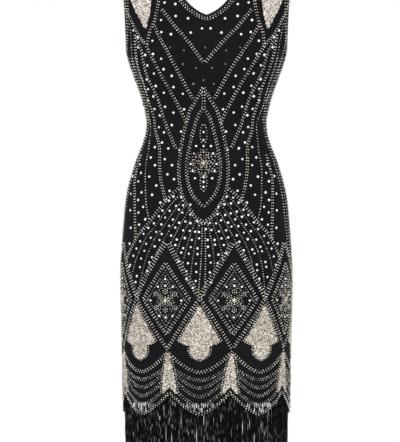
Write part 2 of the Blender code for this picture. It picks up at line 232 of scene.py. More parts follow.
@dataclass
class DressForm:
    """The outer face of the cloth, as the shape that everything else lies on.

    An angle round the dress is 0 at the centre front, a quarter circle at the wearer's left side
    and a half circle at the centre back. A turn counts the same way by length of cloth.
    """

    levels: tuple[Level, ...] = LEVELS
    creases: tuple[Crease, ...] = CREASES
    neck_half_width: float = 0.098
    shoulder_tip: Pair = (0.174, -0.031)
    shoulder_round_height: float = 0.12
    shoulder_round_power: float = 1.6
    twist: float = -0.057
    twist_top: float = -0.25
    twist_bottom: float = -0.70
    spread_most: float = 0.047
    spread_top: Pair = (-0.54, -0.64)
    spread_bottom: Pair = (-0.93, -0.73)
    drifts: tuple[tuple[float, float, float], ...] = ((-0.006, -0.17, 0.14), (-0.008, -0.62, 0.20))
    scallop_pitch: float = 0.5
    cusp_height: float = -0.919
    scallop_depth: float = 0.042
    scallop_power: float = 1.5
    height_step: float = 0.002
    ring_steps: int = 96
    angle_reach: float = 0.012
    height_reach: float = 0.0015

    def __post_init__(self) -> None:
        """Works out the tables of sizes and of lengths round the dress."""
        top, bottom = self.levels[0].height, self.levels[-1].height
        count = int(round((top - bottom) / self.height_step)) + 1
        self.heights = np.linspace(bottom, top, count)
        self.sizes = {
            name: np.array([self._size(name, height) for height in self.heights])
            for name in ("half_width", "front_depth", "back_depth", "squareness")
        }
        self.marks = np.linspace(0, 1, self.ring_steps + 1)
        self.shares, self.angles = {}, {}
        for side, depth in ((Side.FRONT, "front_depth"), (Side.BACK, "back_depth")):
            ring = self.marks[None, :] * math.pi / 2
            power = 2 / self.sizes["squareness"][:, None]
            x = self.sizes["half_width"][:, None] * np.sin(ring) ** power
            y = self.sizes[depth][:, None] * np.maximum(np.cos(ring), 0) ** power
            steps = np.hypot(np.diff(x, axis=1), np.diff(y, axis=1))
            lengths = np.concatenate([np.zeros((count, 1)), np.cumsum(steps, axis=1)], axis=1)
            share = lengths / lengths[:, -1:]
            self.shares[side] = share
            self.angles[side] = np.array([np.interp(self.marks, row, ring[0]) for row in share])
            if side is Side.FRONT:
                quarter = lengths[:, -1]
            else:
                self.quarters = (quarter + lengths[:, -1]) / 2

    def _size(self, name: str, height: float) -> float:
        """One size at a height, on a smooth curve through the levels."""
        marks = [(level.height, getattr(level, name)) for level in self.levels]
        above = 1
        while above < len(marks) - 2 and marks[above][0] > height:
            above += 1
        four = [marks[min(max(above + i, 0), len(marks) - 1)] for i in (1, 0, -1, -2)]
        if four[0] == four[1]:
            four[0] = (four[1][0] - 0.1, four[1][1])
        if four[3] == four[2]:
            four[3] = (four[2][0] + 0.1, four[2][1])
        (h0, v0), (h1, v1), (h2, v2), (h3, v3) = four
        share, span = (height - h1) / (h2 - h1), h2 - h1
        low, high = (v2 - v0) / (h2 - h0) * span, (v3 - v1) / (h3 - h1) * span
        square, cube = share * share, share**3
        return (
            (2 * cube - 3 * square + 1) * v1 + (cube - 2 * square + share) * low
            + (3 * square - 2 * cube) * v2 + (cube - square) * high
        )

    def size(self, name: str, height: Array) -> Array:
        """One size of the dress at each height."""
        return np.interp(height, self.heights, self.sizes[name])

    def quarter(self, height: Array) -> Array:
        """A quarter of the way round the dress at each height."""
        return np.interp(height, self.heights, self.quarters)

    def _look_up(self, table: Array, height: Array, share: Array) -> Array:
        """Reads a table of heights by shares, with straight lines between its entries."""
        row = np.clip((height - self.heights[0]) / self.height_step, 0, len(table) - 1.001)
        column = np.clip(share * self.ring_steps, 0, self.ring_steps - 0.001)
        i, j = row.astype(int), column.astype(int)
        a, b = row - i, column - j
        low = mixed(table[i, j], table[i, j + 1], b)
        high = mixed(table[i + 1, j], table[i + 1, j + 1], b)
        return mixed(low, high, a)

    def twist_at(self, height: Array) -> Array:
        """How far the dress has turned towards the wearer's right at a height, in turns."""
        return self.twist * smooth((self.twist_top - height) / (self.twist_top - self.twist_bottom))

    def spread(self, turn: Array, height: Array) -> Array:
        """A turn after the pattern has spread over the hips towards the sides."""
        (top, full), (bottom, even) = self.spread_top, self.spread_bottom
        share = smooth((top - height) / (top - full)) * smooth((height - bottom) / (even - bottom))
        return turn + self.spread_most * share * np.sin(math.pi * turn)

    def drift_at(self, height: Array) -> Array:
        """How far the middle of the embroidery has moved across at a height."""
        return sum(move * smooth((start - height) / span) for move, start, span in self.drifts)

    @property
    def shoulder_slope(self) -> float:
        """How steeply the shoulder line falls, as a number below zero."""
        tip_x, tip_height = self.shoulder_tip
        return tip_height / (tip_x - self.neck_half_width)

    def shoulder_height(self, x: Array) -> Array:
        """The height of the shoulder line."""
        return (np.abs(x) - self.neck_half_width) * self.shoulder_slope

    def angle_of_turn(self, turn: Array, height: Array) -> Array:
        """The angle where a turn lies at a height."""
        turn, height = np.broadcast_arrays(np.asarray(turn, float), np.asarray(height, float))
        turn = (self.spread(turn, height) + self.twist_at(height) + 2) % 4 - 2
        front = np.abs(turn) <= 1
        share = np.where(front, np.abs(turn), 2 - np.abs(turn))
        ahead = self._look_up(self.angles[Side.FRONT], height, share)
        behind = self._look_up(self.angles[Side.BACK], height, share)
        return np.where(turn < 0, -1.0, 1.0) * np.where(front, ahead, math.pi - behind)

    def angle_across(self, side: Side, x: Array, height: Array) -> Array:
        """The angle where one face of the dress is so far across at a height."""
        x, height = np.broadcast_arrays(np.asarray(x, float), np.asarray(height, float))
        share = np.clip(np.abs(x) / self.size("half_width", height), 0, 1)
        angle = np.arcsin(share ** (self.size("squareness", height) / 2))
        sign = np.where(x < 0, -1.0, 1.0)
        return sign * (angle if side is Side.FRONT else math.pi - angle)

    def share_across(self, side: Side, x: Array, height: Array) -> Array:
        """The share of the cloth between a centre line and its side seam, so far across."""
        angle = np.abs(self.angle_across(side, x, height))
        angle = angle if side is Side.FRONT else math.pi - angle
        return self._look_up(self.shares[side], np.asarray(height, float), angle / (math.pi / 2))

    def relief(self, angle: Array, height: Array) -> Array:
        """How far the creases push the cloth in."""
        turned = np.abs((angle + math.pi) % (2 * math.pi) - math.pi) / (math.pi / 2)
        aside = np.where(turned <= 1, turned, 2 - turned)
        total = np.zeros_like(aside)
        for crease in self.creases:
            along = (aside - crease.turn) / crease.reach
            off = height - crease.height - crease.slant * (aside - crease.turn)
            total += crease.depth * np.exp(-(along**2) - (off / crease.width) ** 2)
        return total

    def smooth_at(self, angle: Array, height: Array) -> Array:
        """Points of the cloth at angles and heights, before its creases."""
        power = 2 / self.size("squareness", height)
        sine, cosine = np.sin(angle), np.cos(angle)
        depth = np.where(
            cosine >= 0, self.size("front_depth", height), self.size("back_depth", height)
        )
        x = self.size("half_width", height) * np.sign(sine) * np.abs(sine) ** power
        drop = np.clip((self.shoulder_height(x) - height) / self.shoulder_round_height, 0, 1)
        round_power = self.shoulder_round_power
        left = (1 - (1 - drop) ** round_power) ** (1 / round_power)
        y = -depth * np.sign(cosine) * np.abs(cosine) ** power * left
        return np.stack([x, y, height], axis=-1)

    def at(self, angle: Array, height: Array) -> tuple[Array, Array]:
        """Points of the cloth and the directions straight out of it.

        Args:
            angle: The angles round the dress.
            height: The heights.

        Returns:
            The points and the outward directions, each as rows of x, y and z.
        """
        angle, height = np.broadcast_arrays(np.asarray(angle, float), np.asarray(height, float))
        step, rise = self.angle_reach, self.height_reach
        around = self.smooth_at(angle + step, height) - self.smooth_at(angle - step, height)
        up = self.smooth_at(angle, height + rise) - self.smooth_at(angle, height - rise)
        out = unit(np.cross(around, up))
        points = self.smooth_at(angle, height) - out * self.relief(angle, height)[..., None]
        return points, out

    def off(self, angle: Array, height: Array, lift: Array | float) -> Array:
        """Points that stand off the cloth by a lift, or behind it where that is below zero."""
        points, out = self.at(angle, height)
        return points + out * np.asarray(lift)[..., None]

    def scallop_height(self, turn: Array) -> Array:
        """The hem's height at a turn, scallop after scallop."""
        steps = turn / self.scallop_pitch
        from_middle = np.abs(steps - np.round(steps)) * 2
        return self.cusp_height - self.scallop_depth * (1 - from_middle**self.scallop_power)


class Nodes:
    """A short way to add and join shader nodes in one tree."""

    def __init__(self, tree: bpy.types.NodeTree) -> None:
        """Keeps the tree that nodes are added to."""
        self.tree = tree

    def add(self, kind: str, values: dict | None = None, **settings: object) -> bpy.types.Node:
        """Adds a node.

        Args:
            kind: The node's type, without its ShaderNode prefix.
            values: Its inputs by name or number, as values or as sockets to join to it.
            settings: Its own settings, by name.

        Returns:
            The new node.
        """
        node = self.tree.nodes.new(f"ShaderNode{kind}")
        for name, value in settings.items():
            setattr(node, name, value)
        for name, value in (values or {}).items():
            if isinstance(value, Socket):
                self.tree.links.new(value, node.inputs[name])
            else:
                node.inputs[name].default_value = value
        return node

    def math(self, operation: str, *values: object) -> Socket:
        """Adds a sum of one, two or three values, and gives its result."""
        return self.add("Math", dict(enumerate(values)), operation=operation).outputs[0]

    def blend(self, share: object, low: object, high: object) -> Socket:
        """Mixes two colours, and gives the result."""
        node = self.add("Mix", {0: share, 6: low, 7: high}, data_type="RGBA")
        return node.outputs[2]

    def noise(self, place: Socket, scale: float, detail: float) -> Socket:
        """Adds an even cloud of values over a place, and gives it."""
        return self.add("TexNoise", {"Vector": place, "Scale": scale, "Detail": detail}).outputs[0]


def new_group(name: str, inputs: dict[str, object], outputs: Sequence[str]) -> tuple[Nodes, ...]:
    """Starts a shader node group.

    Args:
        name: The group's name.
        inputs: The inputs' names and default values, where three numbers make a colour.
        outputs: The outputs' names. One that ends in colour is a colour.

    Returns:
        The group's nodes, its input node and its output node.
    """
    tree = bpy.data.node_groups.new(name, "ShaderNodeTree")
    for label, value in inputs.items():
        kind = "NodeSocketColor" if isinstance(value, tuple) else "NodeSocketFloat"
        socket = tree.interface.new_socket(label, in_out="INPUT", socket_type=kind)
        socket.default_value = (*value, 1.0) if isinstance(value, tuple) else value
    for label in outputs:
        kind = "NodeSocketColor" if label.endswith("colour") else "NodeSocketFloat"
        tree.interface.new_socket(label, in_out="OUTPUT", socket_type=kind)
    nodes = Nodes(tree)
    return nodes, nodes.tree.nodes.new("NodeGroupInput"), nodes.tree.nodes.new("NodeGroupOutput")


def build_weave() -> bpy.types.NodeTree:
    """A plain weave on a map in metres: crossing threads, with slubs that come and go."""
    nodes, given, made = new_group(
        "plain_weave", {"Across": 0.0, "Along": 0.0, "Threads": 1500.0, "Slub": 0.3},
        ("Height", "Slubs")
    )
    waves = []
    for label in ("Across", "Along"):
        phase = nodes.math("MULTIPLY", given.outputs[label], given.outputs["Threads"])
        waves.append(nodes.math("ABSOLUTE", nodes.math("SINE", phase)))
    place = nodes.add("CombineXYZ", {0: given.outputs["Across"], 1: given.outputs["Along"], 2: 0.0})
    stretched = nodes.add("Mapping", {"Vector": place.outputs[0], "Scale": (900.0, 60.0, 1.0)})
    slubs = nodes.noise(stretched.outputs[0], 1.0, 3.0)
    thread = nodes.math("MAXIMUM", *waves)
    uneven = nodes.math("MULTIPLY", slubs, given.outputs["Slub"])
    nodes.tree.links.new(nodes.math("ADD", thread, uneven), made.inputs["Height"])
    nodes.tree.links.new(slubs, made.inputs["Slubs"])
    return nodes.tree


def build_tint() -> bpy.types.NodeTree:
    """A colour that each small piece shifts between two others by its own random number: partly
    real tone, partly painted glints and painted dark reflections.
    """
    nodes, given, made = new_group(
        "piece_tint",
        {"Tint": 0.5, "Main": (0.8, 0.8, 0.8), "Low": (0.5, 0.5, 0.5), "High": (1.0, 1.0, 1.0)},
        ("Tinted colour", "Shade")
    )
    low = nodes.math("SUBTRACT", 1.0, nodes.math("MULTIPLY", given.outputs["Tint"], 2.5))
    high = nodes.math("SUBTRACT", nodes.math("MULTIPLY", given.outputs["Tint"], 2.5), 1.5)
    # Low numbers darken a piece towards Low and high ones lighten it towards High: painted dark
    # reflection and painted glint as well as real tone
    darker = nodes.add("Clamp", {0: low}).outputs[0]
    lighter = nodes.add("Clamp", {0: high}).outputs[0]
    first = nodes.blend(darker, given.outputs["Main"], given.outputs["Low"])
    second = nodes.blend(lighter, first, given.outputs["High"])
    nodes.tree.links.new(second, made.inputs["Tinted colour"])
    nodes.tree.links.new(given.outputs["Tint"], made.inputs["Shade"])
    return nodes.tree


GROUPS: dict[str, Callable[[], bpy.types.NodeTree]] = {
    "plain_weave": build_weave, "piece_tint": build_tint
}


def use_group(nodes: Nodes, name: str, values: dict) -> bpy.types.Node:
    """Places a shared group in a material, and builds it the first time.

    Args:
        nodes: The material's nodes.
        name: The group's name.
        values: The group's inputs, as values or sockets.

    Returns:
        The group's node.
    """
    tree = bpy.data.node_groups.get(name) or GROUPS[name]()
    return nodes.add("Group", values, node_tree=tree)


def start_material(name: str, constants: dict[str, float]) -> tuple[bpy.types.Material, Nodes]:
    """A new material with its Principled shader set to constant values.

    Args:
        name: The material's name.
        constants: Socket names and values.

    Returns:
        The material and its nodes.
    """
    material = bpy.data.materials.new(name)
    material.use_nodes = True
    nodes = Nodes(material.node_tree)
    shader = material.node_tree.nodes["Principled BSDF"]
    for label, value in constants.items():
        shader.inputs[label].default_value = value
    return material, nodes


def join_to_shader(
    nodes: Nodes, colour: Socket, rough: tuple[Socket, float, float],
    bump: tuple[Socket, float, float] | None = None
) -> None:
    """Joins what a finish has made to the material's shader.

    Args:
        nodes: The material's nodes.
        colour: The colour.
        rough: A value, and the roughness where it is 0 and where it is 1.
        bump: The height of the bumps, their strength and how high they stand, in metres.
    """
    shader = nodes.tree.nodes["Principled BSDF"]
    join = nodes.tree.links.new
    join(colour, shader.inputs["Base Color"])
    spread = nodes.add("MapRange", {0: rough[0], 3: rough[1], 4: rough[2]})
    join(spread.outputs[0], shader.inputs["Roughness"])
    if bump:
        values = {"Height": bump[0], "Strength": bump[1], "Distance": bump[2]}
        join(nodes.add("Bump", values).outputs[0], shader.inputs["Normal"])


@dataclass(frozen=True)
class ClothFinish:
    """Black woven cloth, read on the piece's own map in metres."""

    name: str
    colour: Colour
    worn: Colour
    threads: float
    bump: float
    roughness: Pair = (0.72, 0.92)
    specular: float = 0.05

    def build(self) -> bpy.types.Material:
        """The material, with thread bumps and a slow change of depth over the cloth."""
        material, nodes = start_material(self.name, {"Specular IOR Level": self.specular})
        place = nodes.add("UVMap", uv_map="cloth").outputs[0]
        split = nodes.add("SeparateXYZ", {0: place})
        values = {"Across": split.outputs[0], "Along": split.outputs[1], "Threads": self.threads}
        weave = use_group(nodes, "plain_weave", values)
        share = nodes.math("MULTIPLY", weave.outputs["Slubs"], nodes.noise(place, 9.0, 4.0))
        share = nodes.math("MULTIPLY", share, 2.2)
        colour = nodes.blend(share, (*self.colour, 1.0), (*self.worn, 1.0))
        height, (low, high) = weave.outputs["Height"], self.roughness
        join_to_shader(nodes, colour, (height, high, low), (height, 0.35, self.bump))
        return material


@dataclass(frozen=True)
class PieceFinish:
    """Small hard pieces, such as beads and sequins, each with its own tint, partly real tone and
    partly painted glint and painted dark reflection.
    """

    name: str
    main: Colour
    # Darkest tint: partly darker pieces, partly painted dark reflection
    low: Colour
    # Lightest tint: partly paler pieces, partly painted glint
    high: Colour
    roughness: Pair
    metallic: float = 0.0
    specular: float = 0.5
    coat: float = 0.0
    grain: float = 900.0
    bump: float = 0.0001
    cells: float = 0.0

    def build(self) -> bpy.types.Material:
        """The material, with a tint by piece or by cell that paints glints and dark reflections
        besides real tone, and a fine unevenness of the surface.
        """
        material, nodes = start_material(
            self.name,
            {
                "Metallic": self.metallic, "Specular IOR Level": self.specular,
                "Coat Weight": self.coat, "Coat Roughness": 0.08
            }
        )
        place = nodes.add("TexCoord").outputs["Object"]
        if self.cells:
            cell = nodes.add("TexVoronoi", {"Vector": place, "Scale": self.cells}).outputs["Color"]
            tint = nodes.add("SeparateColor", {0: cell}).outputs[0]
        else:
            tint = nodes.add("Attribute", attribute_name="tint").outputs["Fac"]
        grain = nodes.noise(place, self.grain, 2.0)
        values = {
            "Tint": tint, "Main": (*self.main, 1.0), "Low": (*self.low, 1.0),
            "High": (*self.high, 1.0)
        }
        colour = use_group(nodes, "piece_tint", values)
        mottle = nodes.math("MULTIPLY", grain, 0.35)
        mottled = nodes.blend(mottle, colour.outputs["Tinted colour"], (*self.low, 1.0))
        join_to_shader(nodes, mottled, (grain, *self.roughness), (grain, 0.5, self.bump))
        return material


@dataclass(frozen=True)
class ThreadFinish:
    """Glossy black threaded strands, banded along their length on the piece's own map."""

    name: str
    colour: Colour
    glint: Colour
    band: float = 0.0032
    glint_length: float = 0.0075
    bump: float = 0.0004
    roughness: Pair = (0.3, 0.6)
    specular: float = 0.06

    def build(self) -> bpy.types.Material:
        """The material, with a band for each bugle on a strand and a glint on a few of them."""
        material, nodes = start_material(self.name, {"Specular IOR Level": self.specular})
        split = nodes.add("SeparateXYZ", {0: nodes.add("UVMap", uv_map="cloth").outputs[0]})
        phase = nodes.math("MULTIPLY", split.outputs[1], math.pi / self.band)
        bands = nodes.math("POWER", nodes.math("ABSOLUTE", nodes.math("SINE", phase)), 0.35)
        tint = nodes.add("Attribute", attribute_name="tint").outputs["Fac"]
        cell = nodes.math("FLOOR", nodes.math("DIVIDE", split.outputs[1], self.glint_length))
        cell = nodes.math("MULTIPLY_ADD", tint, 997.0, cell)
        chance = nodes.add("TexWhiteNoise", {"W": cell}, noise_dimensions="1D").outputs["Value"]
        place = nodes.add("TexCoord").outputs["Object"]
        patch = nodes.noise(place, 13.0, 1.0)
        patch = nodes.add("MapRange", {0: patch, 1: 0.42, 2: 0.66, 3: 0.25, 4: 1.0}).outputs[0]
        bright = nodes.math("MULTIPLY", nodes.math("POWER", chance, 20.0), patch)
        colour = nodes.blend(bright, (*self.colour, 1.0), (*self.glint, 1.0))
        colour = nodes.blend(bands, (0.002, 0.002, 0.002, 1.0), colour)
        low, high = self.roughness
        join_to_shader(nodes, colour, (tint, high, low), (bands, 0.6, self.bump))
        return material


Finish = ClothFinish | PieceFinish | ThreadFinish

CREPE = ClothFinish(
    "black_crepe", (0.0042, 0.0042, 0.0054), (0.0085, 0.0085, 0.0100), 2600.0, 0.00008
)
SATIN = ClothFinish(
    "black_satin", (0.0045, 0.0045, 0.0055), (0.0080, 0.0080, 0.0095), 5200.0, 0.00004, (0.34, 0.5),
    0.15
)
FRINGE_THREAD = ThreadFinish("glossy_black_strands", (0.0024, 0.0024, 0.0030), (0.95, 0.94, 0.92))
# Each piece finish below gives its main colour, its darkest tint and its lightest tint; the two
# tints paint dark reflections and glints as well as the pieces' own tone, most of all on the
# sequins
SILVER_BEAD = PieceFinish(
    "silver_lined_glass_beads", (0.70, 0.67, 0.59), (0.20, 0.18, 0.14), (1.0, 1.0, 0.97),
    (0.10, 0.30), 0.25, 0.6, 0.4
)
DIM_BEAD = PieceFinish(
    "smoked_glass_beads", (0.34, 0.32, 0.27), (0.08, 0.07, 0.05), (0.82, 0.81, 0.76), (0.12, 0.32),
    0.25, 0.6, 0.3
)
STUD = PieceFinish(
    "polished_white_studs", (0.93, 0.93, 0.92), (0.80, 0.79, 0.76), (1.0, 1.0, 1.0), (0.08, 0.2),
    0.1, 0.7, 0.6
)
JET = PieceFinish(
    "jet_studs", (0.055, 0.055, 0.055), (0.02, 0.02, 0.02), (0.16, 0.16, 0.15), (0.08, 0.2), 0.0,
    0.6, 0.5
)
GOLD_BEAD = PieceFinish(
    "champagne_gold_sequins", (0.60, 0.54, 0.42), (0.22, 0.18, 0.11), (1.0, 0.97, 0.88),
    (0.12, 0.30), 0.5, 0.6, 0.2
)
SEQUIN = PieceFinish(
    "champagne_sequins", (0.49, 0.43, 0.36), (0.06, 0.05, 0.04), (0.94, 0.89, 0.82), (0.22, 0.42),
    0.35, 0.6, 0.2
)
LEAF_SEQUIN = replace(SEQUIN, name="rose_sequins", main=(0.56, 0.49, 0.43), high=(0.98, 0.93, 0.88))
SEQUIN_GROUND = PieceFinish(
    "sequin_ground", (0.36, 0.32, 0.27), (0.12, 0.10, 0.08), (0.62, 0.58, 0.52), (0.3, 0.5), 0.3,
    0.4, 0.0, 420.0, 0.0003, 380.0
)
BUGLE = PieceFinish(
    "silver_bugle_beads", (0.62, 0.61, 0.57), (0.12, 0.12, 0.11), (1.0, 1.0, 0.98), (0.06, 0.22),
    0.5, 0.7, 0.5
)


class FinishBook:
    """The finishes' materials, each made once."""

    def __init__(self) -> None:
        """Starts with no material made."""
        self.made: dict[str, bpy.types.Material] = {}

    def get(self, finish: Finish) -> bpy.types.Material:
        """The finish's material."""
        if finish.name not in self.made:
            self.made[finish.name] = finish.build()
        return self.made[finish.name]


@dataclass
class Places:
    """Where small pieces go: their middles, the way each runs and the way each faces."""

    points: Array
    along: Array
    out: Array

    @classmethod
    def joined(cls, parts: Iterable["Places"]) -> "Places":
        """Several sets of places as one."""
        parts = [part for part in parts if len(part.points)]
        return cls(
            *(
                np.vstack([getattr(part, name) for part in parts])
                for name in ("points", "along", "out")
            )
        )

    def kept(self, mask: Array) -> "Places":
        """The places where the mask is true."""
        return Places(self.points[mask], self.along[mask], self.out[mask])


@dataclass
class Course:
    """A line on the cloth, as close points and the directions straight out of it."""

    points: Array
    outs: Array

    def spaced(self, pitch: float, offset: float = 0.0, start: float = 0.5) -> Places:
        """Evenly spaced places along the line, or along one beside it.

        Args:
            pitch: The distance from place to place.
            offset: How far the row lies to one side of the line.
            start: How much of a pitch comes before the first place.

        Returns:
            The places.
        """
        along = unit(np.gradient(self.points, axis=0))
        points = self.points + np.cross(self.outs, along) * offset
        lengths = lengths_along(points)
        marks = np.arange(start * pitch, lengths[-1], pitch)
        picked = [
            np.stack([np.interp(marks, lengths, values[:, axis]) for axis in range(3)], axis=1)
            for values in (points, along, self.outs)
        ]
        return Places(picked[0], unit(picked[1]), unit(picked[2]))


@dataclass
class Tailor:
    """Draws lines and places on the dress, and makes pieces on them."""

    form: DressForm
    book: FinishBook
    line_step: float = 0.0015
    seed: int = 19

    def __post_init__(self) -> None:
        """Starts the one source of unevenness, which gives the same numbers on each run."""
        self.random = np.random.default_rng(self.seed)
        self.pieces: list[Piece] = []

    def _close(self, marks: Array, reach: Array) -> Array:
        """Marks of a line set close together, where reach turns them into metres."""
        lengths = lengths_along(marks * reach)
        wanted = np.linspace(0, lengths[-1], max(int(lengths[-1] / self.line_step), 3))
        return np.stack([np.interp(wanted, lengths, marks[:, i]) for i in (0, 1)], axis=1)

    def across(
        self, side: Side, half: Half, marks: Sequence[Pair], bent: bool = True, drift: bool = True
    ) -> Course:
        """A line given as seen from the front or the back.

        Args:
            side: The face of the dress that it lies on.
            half: The side of the embroidery's middle that it lies on.
            marks: Places on it, by distance from that middle and height.
            bent: Whether it runs smoothly through the places or straight between them.
            drift: Whether it moves with the embroidery's middle.

        Returns:
            The line on the cloth.
        """
        line = curve_through(marks) if bent else np.array(marks, float)
        line = self._close(line, np.array([1.0, 1.0]))
        x = half.value * line[:, 0]
        if drift:
            x = x - side.value * self.form.drift_at(line[:, 1])
        angle = self.form.angle_across(side, x, line[:, 1])
        return Course(*self.form.at(angle, line[:, 1]))

    def around(self, turns: Array, heights: Array, bent: bool = True) -> Course:
        """A line given by turns and heights."""
        marks = np.stack([turns, heights], axis=1)
        line = curve_through(marks) if bent else marks
        line = self._close(line, np.array([float(self.form.quarter(-0.7)), 1.0]))
        angle = self.form.angle_of_turn(line[:, 0], line[:, 1])
        return Course(*self.form.at(angle, line[:, 1]))

    def spot(self, turn: Array, height: Array) -> Places:
        """Places by turns and heights, running downwards."""
        height = np.asarray(height, float)
        points, outs = self.form.at(self.form.angle_of_turn(turn, height), height)
        return Places(points, self._downward(outs), outs)

    def spot_across(self, side: Side, half: Half, marks: Sequence[Pair]) -> Places:
        """Places by distance from the embroidery's middle and height, running downwards."""
        marks = np.array(marks, float).reshape(-1, 2)
        x = half.value * marks[:, 0] - side.value * self.form.drift_at(marks[:, 1])
        points, outs = self.form.at(self.form.angle_across(side, x, marks[:, 1]), marks[:, 1])
        return Places(points, self._downward(outs), outs)

    @staticmethod
    def _downward(outs: Array) -> Array:
        """The direction down the cloth."""
        down = np.array([0.0, 0.0, -1.0])
        return unit(down - outs * (outs @ down)[:, None])

    def add(self, name: str, mesh: Mesh, finish: Finish, slot: str) -> Piece:
        """Makes a mesh a piece of the dress.

        Args:
            name: The piece's name.
            mesh: Its mesh, in place.
            finish: Its finish.
            slot: The name of one of the record's material slots; not used.

        Returns:
            The piece.
        """
        mesh.materials.append(self.book.get(finish))
        obj = bpy.data.objects.new(name, mesh)
        bpy.context.scene.collection.objects.link(obj)
        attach(obj, BODY)
        self.pieces.append(obj)
        mesh.calc_loop_triangles()
        LOG.info("%s: %d triangles", name, len(mesh.loop_triangles))
        return obj

    def repeat(
        self, name: str, shape: Shape, places: Places, finish: Finish, slot: str, lift: float = 0.0,
        tilt: float = 0.0, uneven: float = 0.06, even_shade: bool = True
    ) -> Piece:
        """Joins copies of a small shape into one piece.

        Args:
            name: The piece's name.
            shape: The shape, with its z pointing off the cloth and its y along the row.
            places: Where the copies go.
            finish: Their finish.
            slot: The name of one of the record's material slots; not used.
            lift: How far the shape's origin stands off the cloth.
            tilt: How far a copy may lean, as a share of its height.
            uneven: How much the copies differ in size.
            even_shade: Whether the shape is rounded, and so shaded smooth.

        Returns:
            The piece.
        """
        bmesh.ops.triangulate(shape, faces=shape.faces)
        corners = np.array([vertex.co for vertex in shape.verts])
        faces = np.array([[vertex.index for vertex in face.verts] for face in shape.faces])
        shape.free()
        count = len(places.points)
        lean = self.random.normal(0, tilt, (count, 3)) if tilt else 0.0
        out = unit(places.out + lean)
        along = unit(places.along - out * np.sum(places.along * out, axis=1, keepdims=True))
        axes = np.stack([np.cross(along, out), along, out], axis=1)
        scale = 1 + self.random.uniform(-uneven, uneven, count)
        base = places.points + places.out * lift
        vertices = base[:, None] + np.einsum("vi,nij->nvj", corners, axes) * scale[:, None, None]
        mesh = copies(name, vertices, faces, self.random.random(count))
        if even_shade:
            mesh.shade_smooth()
        return self.add(name, mesh, finish, slot)


def bead_shape(radius: float) -> Shape:
    """A bead a little wider than long, sewn flat against the cloth."""
    bm = bmesh.new()
    bmesh.ops.create_icosphere(bm, subdivisions=1, radius=radius)
    bmesh.ops.scale(bm, vec=(1.2, 0.86, 0.9), verts=bm.verts)
    bmesh.ops.translate(bm, vec=(0, 0, radius * 0.8), verts=bm.verts)
    return bm


def stud_shape(radius: float) -> Shape:
    """A domed stud with a flat foot."""
    bm = bmesh.new()
    bmesh.ops.create_uvsphere(bm, u_segments=8, v_segments=6, radius=radius)
    low = [vertex for vertex in bm.verts if vertex.co.z < -0.01 * radius]
    for vertex in low:
        vertex.co.z = -0.1 * radius
    bmesh.ops.scale(bm, vec=(1.0, 1.0, 0.72), verts=bm.verts)
    bmesh.ops.remove_doubles(bm, verts=bm.verts, dist=radius * 0.01)
    return bm


def sequin_shape(radius: float, thickness: float) -> Shape:
    """A thin disc whose rim is turned down a little."""
    bm = bmesh.new()
    bmesh.ops.create_cone(
        bm, cap_ends=True, cap_tris=False, segments=7, radius1=radius, radius2=radius * 0.62,
        depth=thickness
    )
    return bm


def bugle_shape(radius: float, length: float) -> Shape:
    """A short glass tube that lies along its row."""
    bm = bmesh.new()
    bmesh.ops.create_cone(
        bm, cap_ends=True, cap_tris=False, segments=6, radius1=radius, radius2=radius, depth=length,
        matrix=Matrix.Rotation(math.pi / 2, 4, "X")
    )
    bmesh.ops.translate(bm, vec=(0, 0, radius), verts=bm.verts)
    return bm


